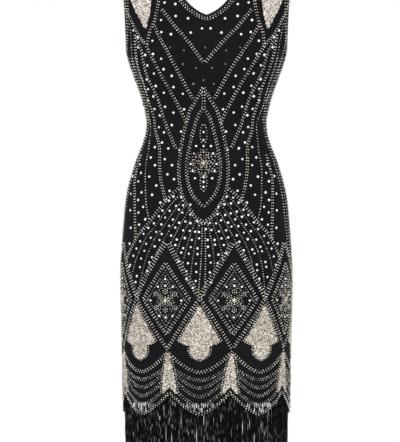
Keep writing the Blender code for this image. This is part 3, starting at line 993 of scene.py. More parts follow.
@dataclass
class ClothPanel:
    """The front or the back of the dress, cut in one from the shoulders to the scallops."""

    side: Side
    name: str
    neck_bottom: float
    neck_bend: Pair
    armhole_hollow: float
    thickness: float = 0.0012
    seam_gap: float = 0.0004
    underarm: Pair = (0.160, -0.240)
    neck_rows: int = 4
    yoke_rows: int = 12
    yoke_cuts: int = 4
    skirt_top: float = -0.900
    row_step: float = 0.0075
    hem_cuts: int = 4
    columns: int = 48
    seam_roll: float = 0.0005
    seam_roll_reach: float = 0.003
    flat: Pair = (0.50, 0.98)
    flat_area: float = 0.37

    def yoke(self, form: DressForm, row: Array, share: Array) -> tuple[Array, Array]:
        """Shares of the quarter and heights of places between the neckline and the armhole.

        Args:
            form: The dress.
            row: How far up the yoke, from 0 at the underarm to the shoulder seam.
            share: How far out, from the neckline or centre line to the armhole.

        Returns:
            The share of the way round to the side, and the height.
        """
        row, share = np.broadcast_arrays(np.asarray(row, float), np.asarray(share, float))
        rise = (1 - np.cos(math.pi * row / self.yoke_rows)) / 2
        outer_z = mixed(self.underarm[1], form.shoulder_tip[1], rise)
        hollow = self.armhole_hollow * np.sin(math.pi * rise)
        outer_x = mixed(self.underarm[0], form.shoulder_tip[0], rise**1.5) - hollow
        above = np.clip((row - self.neck_rows) / (self.yoke_rows - self.neck_rows), 0, 1)
        bend = np.sin(math.pi / 2 * above)
        inner_x = 2 * bend * (1 - bend) * self.neck_bend[0] + bend**2 * form.neck_half_width
        curve_z = (1 - bend) ** 2 * self.neck_bottom + 2 * bend * (1 - bend) * self.neck_bend[1]
        below = mixed(self.underarm[1], self.neck_bottom, row / self.neck_rows)
        inner_z = np.where(row <= self.neck_rows, below, curve_z)
        inner = form.share_across(self.side, inner_x, inner_z)
        outer = form.share_across(self.side, outer_x, outer_z)
        widest = 1 - self.seam_gap / 2 / form.quarter(self.underarm[1])
        outer = np.where(row <= 0, widest, outer)
        turn, level = mixed(inner, outer, share), mixed(inner_z, outer_z, share)
        inner_drop = form.shoulder_height(inner_x) - inner_z
        outer_drop = form.shoulder_height(outer_x) - outer_z
        height = level
        for _ in range(4):
            x = form.smooth_at(self.angle(form, turn, height), height)[..., 0]
            drop = form.shoulder_height(x) - mixed(inner_drop, outer_drop, share)
            height = mixed(level, drop, row / self.yoke_rows)
        top_x = mixed(inner_x, outer_x, share)
        top_z = form.shoulder_height(top_x)
        at_seam = row >= self.yoke_rows
        turn = np.where(at_seam, form.share_across(self.side, top_x, top_z), turn)
        return turn, np.where(at_seam, top_z, height)

    def angle(self, form: DressForm, turn: Array, height: Array) -> Array:
        """The angle where a turn from this panel's centre line lies."""
        return form.angle_of_turn(turn if self.side is Side.FRONT else 2 + turn, height)

    def grid(self, form: DressForm, half: Half) -> tuple[Array, Array]:
        """Points and outward directions of one half, in rows from the hem up.

        Args:
            form: The dress.
            half: The wearer's side that it lies on.

        Returns:
            The points and the directions.
        """
        share = np.linspace(0, 1, self.columns + 1)
        sign = half.value
        widest = 1 - self.seam_gap / 2 / float(form.quarter(form.cusp_height))
        edge = form.scallop_height(share * widest)
        turns, heights = [], []
        for step in range(self.hem_cuts):
            turns.append(share * widest)
            heights.append(mixed(edge, self.skirt_top, step / self.hem_cuts))
        count = int(round((self.underarm[1] - self.skirt_top) / self.row_step))
        for height in np.linspace(self.skirt_top, self.underarm[1], count + 1)[:-1]:
            turns.append(share * (1 - self.seam_gap / 2 / float(form.quarter(height))))
            heights.append(np.full_like(share, height))
        rows = np.linspace(0, self.yoke_rows, self.yoke_rows * self.yoke_cuts + 1)
        turn, height = self.yoke(form, rows[:, None], share[None, :])
        turns, heights = np.vstack([*turns, *turn]), np.vstack([*heights, *height])
        points, outs = form.at(self.angle(form, turns * sign, heights), heights)
        points[-1, :, 1] = self.side.value * self.seam_gap / 2
        near_seam = np.clip((turns - 1) * form.quarter(heights) / self.seam_roll_reach + 1, 0, 1)
        points -= outs * (self.seam_roll * near_seam**2)[..., None]
        return points, outs

    def edge(self, form: DressForm, share: float, rows: Array, half: Half) -> tuple[Array, Array]:
        """Points and outward directions up the neckline or the armhole of one half."""
        turn, height = self.yoke(form, rows, np.full_like(rows, share))
        points, outs = form.at(self.angle(form, turn * half.value, height), height)
        at_seam = rows >= self.yoke_rows
        points[at_seam, 1] = 0.0
        fall = np.sign(points[at_seam, 0]) * -form.shoulder_slope
        outs[at_seam] = unit(np.stack([fall, fall * 0, fall * 0 + 1], axis=1))
        return points, outs

    def build(self, tailor: Tailor) -> Piece:
        """Makes the panel as a closed cloth with its own map in metres."""
        form = tailor.form
        bm = bmesh.new()
        for half in Half:
            points, _ = self.grid(form, half)
            rows = len(points) - 1
            made = bmesh.ops.create_grid(
                bm, x_segments=self.columns, y_segments=rows, size=1
            )["verts"]
            if half is Half.RIGHT:
                points = points[:, ::-1]
            for vertex, place in zip(made, points.reshape(-1, 3)):
                vertex.co = place
        bmesh.ops.remove_doubles(bm, verts=bm.verts, dist=1e-6)
        mesh = mesh_of(bm, self.name)
        mesh.shade_smooth()
        obj = tailor.add(self.name, mesh, CREPE, "cloth")
        wall = obj.modifiers.new("wall", "SOLIDIFY")
        wall.thickness = self.thickness
        wall.offset = -1.0
        shape = obj.evaluated_get(bpy.context.evaluated_depsgraph_get())
        obj.data = bpy.data.meshes.new_from_object(shape)
        obj.modifiers.clear()
        self._map(form, obj.data)
        return obj

    def _map(self, form: DressForm, mesh: Mesh) -> None:
        """Gives the cloth a map in metres, across from the centre line and up."""
        places = np.empty(len(mesh.vertices) * 3)
        mesh.vertices.foreach_get("co", places)
        places = places.reshape(-1, 3)
        share = form.share_across(self.side, places[:, 0], places[:, 2])
        across = np.sign(places[:, 0]) * share * form.quarter(places[:, 2])
        give_map(mesh, np.stack([across, places[:, 2]], axis=1))


@dataclass
class Binding:
    """A rolled band of satin that finishes an edge."""

    name: str
    node: str
    half_width: float = 0.0025
    half_depth: float = 0.0012
    beyond_edge: float = 0.0018
    sides: int = 10
    squareness: float = 0.7
    girth: float = 0.014
    cloth: float = 0.0012

    def build(self, tailor: Tailor, points: Array, outs: Array) -> Piece:
        """Sweeps the band round a closed line.

        Args:
            tailor: The maker of pieces.
            points: The edge, with the cloth on its right as seen from outside.
            outs: The directions straight out of the cloth.

        Returns:
            The band.
        """
        along = unit(np.roll(points, -1, axis=0) - np.roll(points, 1, axis=0))
        away = unit(np.cross(outs, along))
        outs = unit(np.cross(along, away))
        angle = np.linspace(0, 2 * math.pi, self.sides, endpoint=False)
        across, depth = (
            np.sign(values) * np.abs(values) ** self.squareness * size
            for values, size in ((np.cos(angle), self.half_width), (np.sin(angle), self.half_depth))
        )
        middle = points + away * self.beyond_edge - outs * self.cloth / 2
        ring = (
            middle[:, None] + away[:, None] * across[None, :, None]
            + outs[:, None] * depth[None, :, None]
        )
        count = len(points)
        bm = bmesh.new()
        made = bmesh.ops.create_grid(bm, x_segments=self.sides, y_segments=count, size=1)["verts"]
        for index, vertex in enumerate(made):
            row, column = divmod(index, self.sides + 1)
            vertex.co = ring[row % count, column % self.sides]
        layer = bm.loops.layers.uv.new("cloth")
        lengths = lengths_along(np.vstack([points, points[:1]]))
        bm.verts.index_update()
        for face in bm.faces:
            for loop in face.loops:
                row, column = divmod(loop.vert.index, self.sides + 1)
                loop[layer].uv = (column / self.sides * self.girth, lengths[row])
        bmesh.ops.remove_doubles(bm, verts=bm.verts, dist=1e-6)
        bmesh.ops.recalc_face_normals(bm, faces=bm.faces)
        mesh = mesh_of(bm, self.name)
        mesh.shade_smooth()
        obj = tailor.add(self.name, mesh, SATIN, "binding")
        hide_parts(self.node)
        return obj


@dataclass
class Fringe:
    """Threaded strands that hang from behind one half of the hem."""

    side: Side
    name: str
    node: str
    strands: int = 760
    top: float = -0.909
    end: float = -1.100
    depths: Pair = (0.0022, 0.0075)
    radius: float = 0.00062
    sides: int = 4
    cuts: int = 13
    sway: float = 0.0016
    drop: float = 0.003
    span: float = 0.996
    stray: float = 0.0012
    thickness: Pair = (0.75, 1.15)
    waves: Pair = (1.0, 2.6)
    tip: float = 0.05

    def build(self, tailor: Tailor) -> Piece:
        """Hangs the strands, each a thin closed tube with a sway of its own."""
        form, random = tailor.form, tailor.random
        bm = bmesh.new()
        bmesh.ops.create_grid(bm, x_segments=self.sides, y_segments=self.cuts, size=1)
        row_length = self.sides + 1
        faces = np.array([[vertex.index for vertex in face.verts] for face in bm.faces])
        bm.free()
        turn = (np.arange(self.strands) + 0.5) / self.strands * 2 - 1
        turn = turn * self.span + random.normal(0, self.stray, self.strands)
        turn = turn if self.side is Side.FRONT else turn + 2
        depth = random.uniform(*self.depths, self.strands)
        share = np.linspace(0, 1, self.cuts + 1)[None, :]
        length = random.normal(0, self.drop / 2, (self.strands, 1))
        height = mixed(self.top, self.end + np.clip(length, -self.drop, self.drop), share)
        phase = random.uniform(0, 2 * math.pi, (2, self.strands, 1))
        wave = random.uniform(*self.waves, (2, self.strands, 1))
        swing = np.sin(share * wave * math.pi + phase) * self.sway * np.sqrt(share)
        quarter = form.quarter(height)
        turns = turn[:, None] + swing[0] / quarter
        points, outs = form.at(form.angle_of_turn(turns, height), height)
        points = points - outs * (depth[:, None] + np.abs(swing[1]))[..., None]
        aside = unit(np.cross(outs, np.array([0.0, 0.0, 1.0])))
        angle = np.linspace(0, 2 * math.pi, self.sides + 1)
        thick = self.radius * random.uniform(*self.thickness, (self.strands, 1, 1, 1))
        taper = np.where((share <= 0) | (share >= 1), self.tip, 1.0)[..., None, None]
        ring = (
            points[:, :, None]
            + (
                aside[:, :, None] * np.cos(angle)[None, None, :, None]
                + outs[:, :, None] * np.sin(angle)[None, None, :, None]
            ) * thick * taper
        )
        points = ring.reshape(self.strands, -1, 3)
        mesh = copies(self.name, points, faces, random.random(self.strands))
        mesh.shade_smooth()
        across = np.tile(np.linspace(0, 0.004, row_length), self.strands * (self.cuts + 1))
        down = np.repeat((height + phase[0] * 0.001).ravel(), row_length)
        give_map(mesh, np.stack([across, down], axis=1))
        bm = bmesh.new()
        bm.from_mesh(mesh)
        bmesh.ops.remove_doubles(bm, verts=bm.verts, dist=1e-7)
        bmesh.ops.recalc_face_normals(bm, faces=bm.faces)
        bm.to_mesh(mesh)
        bm.free()
        obj = tailor.add(self.name, mesh, FRINGE_THREAD, "fringe")
        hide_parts(self.node)
        return obj


@dataclass(frozen=True)
class PatchRow:
    """One height of a sequinned patch, with the inner and outer half widths there."""

    height: float
    inner: float
    outer: float


SPADE_TIP = -0.746
SPADE_ROWS = (
    PatchRow(-0.1030, 0.0, 0.0035), PatchRow(-0.0995, 0.0, 0.0105), PatchRow(-0.0940, 0.0, 0.0152),
    PatchRow(-0.0860, 0.0, 0.0180), PatchRow(-0.0790, 0.0, 0.0174), PatchRow(-0.0757, 0.0, 0.0185),
    PatchRow(-0.0728, 0.0, 0.0270), PatchRow(-0.0675, 0.0, 0.0372), PatchRow(-0.0450, 0.0, 0.0250),
    PatchRow(-0.0225, 0.0, 0.0128), PatchRow(0.0, 0.0, 0.0015)
)
TAIL_TIP = -0.838
TAIL_ROWS = (
    PatchRow(-0.0775, 0.0116, 0.0140), PatchRow(-0.0690, 0.0046, 0.0138),
    PatchRow(-0.0630, 0.0, 0.0132), PatchRow(-0.0410, 0.0, 0.0104), PatchRow(-0.0215, 0.0, 0.0066),
    PatchRow(0.0, 0.0, 0.0015)
)
LEAF_ROWS = (
    PatchRow(-0.198, 0.1190, 0.1215), PatchRow(-0.170, 0.1120, 0.1360),
    PatchRow(-0.142, 0.1090, 0.1495), PatchRow(-0.110, 0.1100, 0.1550),
    PatchRow(-0.085, 0.1150, 0.1530), PatchRow(-0.066, 0.1250, 0.1440)
)


def face_of(index: int) -> str:
    """The face of the dress that one of the eight repeats round the hem lies on."""
    return "front" if index in (0, 1, 6, 7) else "back"


def row_fields(rows: Sequence[PatchRow]) -> tuple[Array, Array, Array]:
    """The heights, inner and outer half widths of a patch's rows."""
    return tuple(
        np.array([getattr(row, name) for row in rows]) for name in ("height", "inner", "outer")
    )


@dataclass
class SequinPatches:
    """The sequinned spades, tails and shoulder leaves, sewn over their own ground."""

    radius: float = 0.0016
    thickness: float = 0.00035
    pitch: float = 0.0023
    lift: float = 0.0016
    lean: float = 0.16
    stray: float = 0.0004

    def filled(self, rows: Sequence[PatchRow], random: np.random.Generator) -> tuple[Array, Array]:
        """Distances across and heights of sequins set in staggered rows within a patch.

        Args:
            rows: The patch's outline.
            random: The source of unevenness.

        Returns:
            The distances across and the heights.
        """
        height, inner, outer = row_fields(rows)
        across, up = [], []
        lines = np.arange(height[0] + self.radius / 2, height[-1], self.pitch * STAGGER)
        for index, line in enumerate(lines):
            low, high = np.interp(line, height, inner), np.interp(line, height, outer)
            reach = np.arange(-high, high + 1e-9, self.pitch) + (index % 2) * self.pitch / 2
            reach = reach[(np.abs(reach) <= high) & (np.abs(reach) >= low)]
            across.append(reach)
            up.append(np.full_like(reach, line))
        across, up = np.concatenate(across), np.concatenate(up)
        shift = random.normal(0, self.stray, (2, len(across)))
        return across + shift[0], up + shift[1]

    def around_hem(
        self, tailor: Tailor, rows: Sequence[PatchRow], tip: float, offset: float
    ) -> Places:
        """Sequin places on one kind of patch all round the hem."""
        parts = []
        for index in range(int(4 / tailor.form.scallop_pitch)):
            across, below = self.filled(rows, tailor.random)
            middle = (index + offset) * tailor.form.scallop_pitch
            height = tip + below
            parts.append(tailor.spot(middle + across / tailor.form.quarter(height), height))
        return Places.joined(parts)

    def leaf(self, tailor: Tailor, half: Half) -> Places:
        """Sequin places on the leaf of one shoulder."""
        height, inner, outer = row_fields(LEAF_ROWS)
        parts = []
        for index, line in enumerate(
            np.arange(height[0] + 0.002, height[-1], self.pitch * STAGGER)
        ):
            ends = [np.interp(line, height, edge) for edge in (inner, outer)]
            low, high = tailor.form.share_across(Side.FRONT, np.array(ends), np.array([line, line]))
            step = self.pitch / float(tailor.form.quarter(line))
            turns = np.arange(low + step * (0.25 + index % 2 * 0.5), high, step)
            turns = turns + tailor.random.normal(0, self.stray, len(turns))
            parts.append(tailor.spot(half.value * turns, np.full_like(turns, line)))
        return Places.joined(parts)

    def build(self, tailor: Tailor, nodes: dict[str, Piece]) -> None:
        """Sews the sequins, and gives the grounds under them their finish."""
        for name, node in nodes.items():
            if "_patch" in name:
                node.data.materials[0] = tailor.book.get(SEQUIN_GROUND)
        sets = {
            "spade_sequins": self.around_hem(tailor, SPADE_ROWS, SPADE_TIP, 0.0),
            "tail_sequins": self.around_hem(tailor, TAIL_ROWS, TAIL_TIP, 0.5),
            "leaf_sequins": Places.joined(self.leaf(tailor, half) for half in Half)
        }
        for name, places in sets.items():
            shape = sequin_shape(self.radius, self.thickness)
            finish = LEAF_SEQUIN if name.startswith("leaf") else SEQUIN
            tailor.repeat(name, shape, places, finish, "sequins", self.lift, self.lean, 0.12, False)


class Kind(Enum):
    """The small hard pieces that are sewn on, by what their piece is called."""

    BEAD = "beads"
    DIM = "dim_beads"
    STUD = "studs"
    SMALL = "small_studs"
    JET = "jet_studs"
    GOLD = "gold"
    BUGLE = "bugles"


@dataclass
class Embroidery:
    """Everything that is sewn on in rows, gathered under a name until it is made."""

    tailor: Tailor
    bead_radius: float = 0.00135
    gold_size: float = 1.25
    bead_pitch: float = 0.0058
    dim_pitch: float = 0.0050
    row_gap: float = 0.0038
    stud_radius: float = 0.0027
    small_stud_radius: float = 0.0024
    bugle_radius: float = 0.0010
    bugle_length: float = 0.0085
    gathered: dict[tuple[str, Kind], list[Places]] = field(default_factory=dict)

    def sew(self, group: str, kind: Kind, places: Places) -> None:
        """Keeps places for one kind of piece in a group."""
        if len(places.points):
            self.gathered.setdefault((group, kind), []).append(places)

    def rows(
        self, group: str, course: Course, count: int = 2, inset: float = 0.0, kind: Kind = Kind.BEAD
    ) -> None:
        """Sews bead rows side by side along a line.

        Args:
            group: The name that they are gathered under.
            course: The line.
            count: How many rows.
            inset: How far the middle of the rows lies to one side of the line.
            kind: The kind of bead.
        """
        for index in range(count):
            offset = inset + (index - (count - 1) / 2) * self.row_gap
            pitch = self.dim_pitch if kind is Kind.DIM else self.bead_pitch
            self.sew(group, kind, course.spaced(pitch, offset))

    def build(self) -> None:
        """Makes every group's pieces."""
        bead, stud = self.bead_radius, self.stud_radius
        makings: dict[Kind, tuple[Callable[..., Shape], tuple[float, ...], Finish, str]] = {
            Kind.BEAD: (bead_shape, (bead,), SILVER_BEAD, "beads"),
            Kind.DIM: (bead_shape, (bead,), DIM_BEAD, "beads"),
            Kind.GOLD: (bead_shape, (bead * self.gold_size,), GOLD_BEAD, "sequins"),
            Kind.STUD: (stud_shape, (stud,), STUD, "studs"),
            Kind.SMALL: (stud_shape, (self.small_stud_radius,), STUD, "studs"),
            Kind.JET: (stud_shape, (stud,), JET, "studs"),
            Kind.BUGLE: (bugle_shape, (self.bugle_radius, self.bugle_length), BUGLE, "beads")
        }
        for (group, kind), parts in self.gathered.items():
            shape, sizes, finish, slot = makings[kind]
            name, places = f"{group}_{kind.value}", Places.joined(parts)
            self.tailor.repeat(name, shape(*sizes), places, finish, slot, tilt=0.05, uneven=0.12)


@dataclass(frozen=True)
class TrimLine:
    """One line of the bodice, by distance from the middle and height, and its bead rows."""

    marks: tuple[Pair, ...]
    rows: int = 2
    bent: bool = True


# Four chevrons below the neck, three lines over the waist and the hips, two beside the arms.
# Each place is its distance across from the centre line and its height, in metres.
BODICE_LINES = (
    TrimLine(
        ((0.0892, -0.16), (0.062, -0.195), (0.0319, -0.228), (0.0102, -0.256), (0.0, -0.269)),
        bent=False
    ),
    TrimLine(
        (
            (0.1025, -0.192), (0.0965, -0.206), (0.0768, -0.24), (0.0561, -0.274),
            (0.0364, -0.3095), (0.02, -0.339)
        )
    ),
    TrimLine(
        (
            (0.1155, -0.2316), (0.1113, -0.2411), (0.0837, -0.2904), (0.066, -0.3199),
            (0.0473, -0.3554), (0.0335, -0.385)
        )
    ),
    TrimLine(
        (
            (0.138, -0.212), (0.1249, -0.2424), (0.1152, -0.2802), (0.1044, -0.3062),
            (0.0936, -0.3267), (0.0846, -0.3515), (0.0775, -0.376), (0.069, -0.3998),
            (0.061, -0.419), (0.0545, -0.435)
        )
    ),
    TrimLine(
        (
            (0.14, -0.208), (0.137, -0.24), (0.1282, -0.278), (0.1152, -0.3125), (0.1066, -0.345),
            (0.0979, -0.371), (0.0945, -0.4009), (0.0895, -0.4166), (0.0862, -0.4383),
            (0.086, -0.469), (0.0825, -0.5032), (0.0744, -0.5386)
        )
    ),
    TrimLine(
        (
            (0.139, -0.306), (0.118, -0.35), (0.105, -0.385), (0.106, -0.415), (0.109, -0.4434),
            (0.114, -0.472), (0.114, -0.507), (0.1126, -0.5445), (0.106, -0.578)
        ),
        rows=1
    ),
    TrimLine(
        (
            (0.123, -0.445), (0.1319, -0.4776), (0.1356, -0.5032), (0.1354, -0.5347),
            (0.135, -0.5682), (0.134, -0.595), (0.135, -0.615)
        )
    ),
    TrimLine(
        (
            (0.152, -0.185), (0.1468, -0.2175), (0.1432, -0.25), (0.1357, -0.283), (0.126, -0.315),
            (0.115, -0.355)
        ),
        rows=1
    ),
    TrimLine(((0.159, -0.208), (0.156, -0.235), (0.15, -0.265), (0.141, -0.3)), rows=1)
)
LEAF_BORDER = (
    (0.115, -0.2316), (0.111, -0.205), (0.102, -0.1824), (0.0945, -0.143), (0.095, -0.112),
    (0.101, -0.085), (0.112, -0.062), (0.128, -0.049), (0.144, -0.05), (0.158, -0.064),
    (0.165, -0.09), (0.167, -0.12), (0.163, -0.148), (0.1457, -0.186), (0.132, -0.212),
    (0.116, -0.2316)
)
YOKE_STUDS = (
    (0.0828, -0.1475), (0.0615, -0.1507), (0.0609, -0.1747), (0.0363, -0.1795), (0.0085, -0.1995),
    (0.0301, -0.208), (0.0895, -0.1824), (0.0879, -0.2062), (0.069, -0.2108), (0.1047, -0.223),
    (0.1018, -0.249), (0.0852, -0.2589), (0.0793, -0.2793), (0.0627, -0.2927), (0.0591, -0.3144),
    (0.0408, -0.3276), (0.0383, -0.358), (0.0593, -0.3643), (0.1173, -0.2504), (0.1117, -0.2711),
    (0.0979, -0.2872), (0.0942, -0.3113), (0.0782, -0.3251), (0.0758, -0.3523), (0.1124, -0.2981),
    (0.1095, -0.3168), (0.0991, -0.3316), (0.0968, -0.3562), (0.0864, -0.3692), (0.144, -0.201),
    (0.134, -0.215), (0.133, -0.235), (0.11, -0.339)
)
JET_STUDS = (
    (0.0, -0.2375), (0.0416, -0.243), (0.069, -0.237), (0.0158, -0.2775), (0.0416, -0.27),
    (0.0, -0.3015), (0.02, -0.3085)
)
WAIST_STUDS = (
    (0.0626, -0.3885), (0.078, -0.4029), (0.0881, -0.3924), (0.0443, -0.4017), (0.0818, -0.423),
    (0.0694, -0.4348), (0.0961, -0.432), (0.0473, -0.4377), (0.1041, -0.4525), (0.0764, -0.4561),
    (0.062, -0.4681), (0.0958, -0.4679), (0.1255, -0.4661), (0.1236, -0.4828), (0.071, -0.4862),
    (0.058, -0.4959), (0.1071, -0.4905), (0.129, -0.4996), (0.093, -0.5081), (0.0669, -0.5187),
    (0.1223, -0.5217), (0.1013, -0.5264), (0.1291, -0.5366), (0.085, -0.5418), (0.1191, -0.5502),
    (0.1447, -0.5569), (0.1283, -0.5613), (0.1146, -0.5748), (0.1436, -0.5914), (0.1269, -0.5853),
    (0.144, -0.524), (0.14, -0.489), (0.146, -0.623)
)


@dataclass
class Bodice:
    """The rows and studs from the shoulders to the hips, on one face of the dress."""

    side: Side
    panel: ClothPanel
    lines: tuple[TrimLine, ...] = BODICE_LINES
    studs: tuple[Pair, ...] = YOKE_STUDS + WAIST_STUDS
    side_turns: tuple[Pair, ...] = (
        (0.72, -0.330), (0.77, -0.380), (0.81, -0.735), (0.865, -0.735), (0.92, -0.735),
        (0.975, -0.735)
    )
    side_top: float = -0.252
    side_clearance: float = 0.004
    edge_samples: int = 60
    edge_start: float = 0.2
    edge_stop: float = 0.15
    edge_insets: Pair = (-0.0030, -0.0072)
    neck_clearance: float = 0.0120
    armhole_insets: tuple[float, ...] = (-0.0030, -0.0086)

    @property
    def group(self) -> str:
        """The name that the pieces are gathered under."""
        return f"bodice_{self.side.word}"

    def lay(self, sewing: Embroidery, lozenges: "Lozenges") -> None:
        """Sews the lines, the studs and the rows along the edges."""
        tailor = sewing.tailor
        neck = self._neck(tailor.form).points
        for half in Half:
            for line in self.lines:
                course = tailor.across(self.side, half, line.marks, line.bent)
                sewing.rows(self.group, course, line.rows)
            if self.side is Side.FRONT:
                sewing.rows(self.group, tailor.across(self.side, half, LEAF_BORDER), 2)
            for kind, marks in ((Kind.STUD, self.studs), (Kind.JET, JET_STUDS)):
                places = tailor.spot_across(self.side, half, marks)
                gap = np.linalg.norm(places.points[:, None] - neck[None], axis=2).min(axis=1)
                sewing.sew(self.group, kind, places.kept(gap > self.neck_clearance))
            self._lay_sides(sewing, lozenges, half)
        self._lay_edges(sewing)

    def _lay_sides(self, sewing: Embroidery, lozenges: "Lozenges", half: Half) -> None:
        """Sews the rows that run down beside one side seam, as far as the lozenges."""
        for turn, bottom in self.side_turns:
            heights = np.linspace(self.side_top, bottom, 3)
            turn = half.value * turn if self.side is Side.FRONT else 2 - half.value * turn
            course = sewing.tailor.around(np.full_like(heights, turn), heights)
            places = course.spaced(sewing.bead_pitch)
            above = lozenges.above(sewing.tailor.form, places.points, self.side_clearance)
            sewing.sew(f"side_rows_{self.side.word}", Kind.BEAD, places.kept(above))

    def _neck(self, form: DressForm) -> Course:
        """The line of the neckline on this face."""
        top = self.panel.yoke_rows - self.edge_stop
        rows = np.linspace(self.panel.neck_rows, top, self.edge_samples)
        first, second = (self.panel.edge(form, 0.0, rows, half) for half in Half)
        return Course(*(np.vstack([a[::-1], b[1:]]) for a, b in zip(first, second)))

    def _lay_edges(self, sewing: Embroidery) -> None:
        """Sews the rows inside the neckline and the armholes."""
        form, panel = sewing.tailor.form, self.panel
        neck = self._neck(form)
        for inset in self.edge_insets:
            sewing.sew(self.group, Kind.BEAD, neck.spaced(sewing.bead_pitch, inset))
        top = panel.yoke_rows - self.edge_stop
        rows = np.linspace(self.edge_start, top, self.edge_samples)
        for half in Half:
            course = Course(*panel.edge(form, 1.0, rows, half))
            for inset in self.armhole_insets:
                places = course.spaced(sewing.bead_pitch, inset * -half.value)
                sewing.sew(self.group, Kind.BEAD, places)


@dataclass
class Medallion:
    """The pointed oval over the waist, with its rosette."""

    side: Side
    outer: tuple[Pair, ...] = (
        (0.0, -0.3143), (0.0164, -0.3432), (0.0262, -0.3595), (0.0325, -0.3806), (0.0385, -0.4028),
        (0.0424, -0.4245), (0.0458, -0.4442), (0.048, -0.466), (0.0483, -0.487), (0.0462, -0.51),
        (0.0395, -0.5339), (0.0285, -0.5504), (0.017, -0.569), (0.0, -0.581), (-0.013, -0.588)
    )
    inner: tuple[Pair, ...] = (
        (0.0, -0.3556), (0.0112, -0.3725), (0.0185, -0.395), (0.0242, -0.4166), (0.0289, -0.4393),
        (0.0323, -0.4599), (0.0329, -0.4835), (0.029, -0.509), (0.019, -0.5308), (0.0, -0.5515)
    )
    rosette: Pair = (0.0, -0.4640)
    rosette_rings: tuple[tuple[float, int, Kind], ...] = (
        (0.0040, 6, Kind.GOLD), (0.0084, 11, Kind.GOLD), (0.0128, 15, Kind.BEAD),
        (0.0176, 21, Kind.GOLD), (0.0222, 24, Kind.BEAD), (0.0266, 26, Kind.DIM)
    )
    petals: int = 6
    studs: tuple[Pair, ...] = (
        (0.0146, -0.4304), (0.0185, -0.4452), (0.0255, -0.4658), (0.0215, -0.48), (0.0169, -0.494)
    )
    centre_studs: tuple[float, ...] = (-0.4028, -0.4186, -0.4304, -0.4914, -0.5012, -0.5111)
    loops: tuple[Pair, ...] = ((-0.4070, 0.0195), (-0.5030, 0.0165))
    loop_width: float = 0.0066
    stem: tuple[Pair, Pair] = ((0.0024, -0.322), (0.0024, -0.353))
    petal_swell: float = 0.16
    stray: float = 0.0005

    def lay(self, sewing: Embroidery) -> None:
        """Sews the two ovals, the stem, the loops, the rosette and the studs."""
        tailor, group = sewing.tailor, f"medallion_{self.side.word}"
        for half in Half:
            sewing.rows(group, tailor.across(self.side, half, self.outer), 2)
            sewing.rows(group, tailor.across(self.side, half, self.inner), 2)
            sewing.rows(group, tailor.across(self.side, half, self.stem), 1)
            sewing.sew(group, Kind.SMALL, tailor.spot_across(self.side, half, self.studs))
            for middle, reach in self.loops:
                angle = np.linspace(0, math.pi, 9)
                marks = np.stack(
                    [np.sin(angle) * self.loop_width, middle + np.cos(angle) * reach], axis=1
                )
                sewing.rows(group, tailor.across(self.side, half, marks), 1)
        studs = [(0.0, height) for height in self.centre_studs]
        sewing.sew(group, Kind.SMALL, tailor.spot_across(self.side, Half.LEFT, studs))
        self._lay_rosette(sewing, group)

    def _lay_rosette(self, sewing: Embroidery, group: str) -> None:
        """Sews the petals of the rosette, ring by ring from its middle."""
        tailor = sewing.tailor
        sewing.sew(group, Kind.STUD, tailor.spot_across(self.side, Half.LEFT, [self.rosette]))
        for radius, count, kind in self.rosette_rings:
            angle = np.arange(count) / count * 2 * math.pi
            reach = radius * (1 + self.petal_swell * np.cos(self.petals * angle))
            marks = np.stack(
                [reach * np.sin(angle), self.rosette[1] + reach * np.cos(angle)], axis=1
            )
            marks = marks + tailor.random.normal(0, self.stray, marks.shape)
            sewing.sew(group, kind, tailor.spot_across(self.side, Half.LEFT, marks))


@dataclass
class Fan:
    """The bead rays and the studs that open out below the medallion."""

    side: Side
    edge: tuple[Pair, ...] = (
        (0.0483, -0.5132), (0.0742, -0.5387), (0.108, -0.5829), (0.1265, -0.603), (0.1436, -0.635),
        (0.151, -0.6546), (0.159, -0.69), (0.163, -0.72)
    )
    centre_top: float = -0.590
    centre_bottom: float = -0.724
    centre_aside: Pair = (0.0026, 0.0062)
    rays: int = 8
    stud_pitch: float = 0.0162
    stud_shift: float = 0.618
    stud_stray: float = 0.0025
    stud_start: float = 0.15
    clearance: float = 0.006
    stud_room: float = 1.3

    def ray(self, share: float) -> Array:
        """Marks of the line at a share of the way from the centre line to the fan's edge."""
        edge = np.array(self.edge)
        steps = np.linspace(0, 1, len(edge))
        centre = np.stack(
            [mixed(*self.centre_aside, steps), mixed(self.centre_top, self.centre_bottom, steps)],
            axis=1
        )
        return mixed(centre, edge, share)

    def lay(self, sewing: Embroidery, lozenges: "Lozenges") -> None:
        """Sews the fan's edge, its rays and the studs between them, down to the lozenges."""
        tailor, group = sewing.tailor, f"fan_{self.side.word}"
        for half in Half:
            sewing.rows(group, tailor.across(self.side, half, self.edge[:6]), 2)
            for index in range(self.rays):
                course = tailor.across(self.side, half, self.ray(index / self.rays))
                places = course.spaced(sewing.dim_pitch)
                places = places.kept(lozenges.above(tailor.form, places.points, self.clearance))
                sewing.sew(group, Kind.BEAD if index == 0 else Kind.DIM, places)
                course = tailor.across(self.side, half, self.ray((index + 0.5) / self.rays))
                places = course.spaced(
                    self.stud_pitch, 0.0, self.stud_start + (index + 1) * self.stud_shift % 1.0
                )
                stray = tailor.random.normal(0, self.stud_stray, (2, len(places.points), 1))
                beside = np.cross(places.out, places.along) / 2
                places.points = places.points + places.along * stray[0] + beside * stray[1]
                room = self.clearance * self.stud_room
                places = places.kept(lozenges.above(tailor.form, places.points, room))
                sewing.sew(group, Kind.SMALL, places)


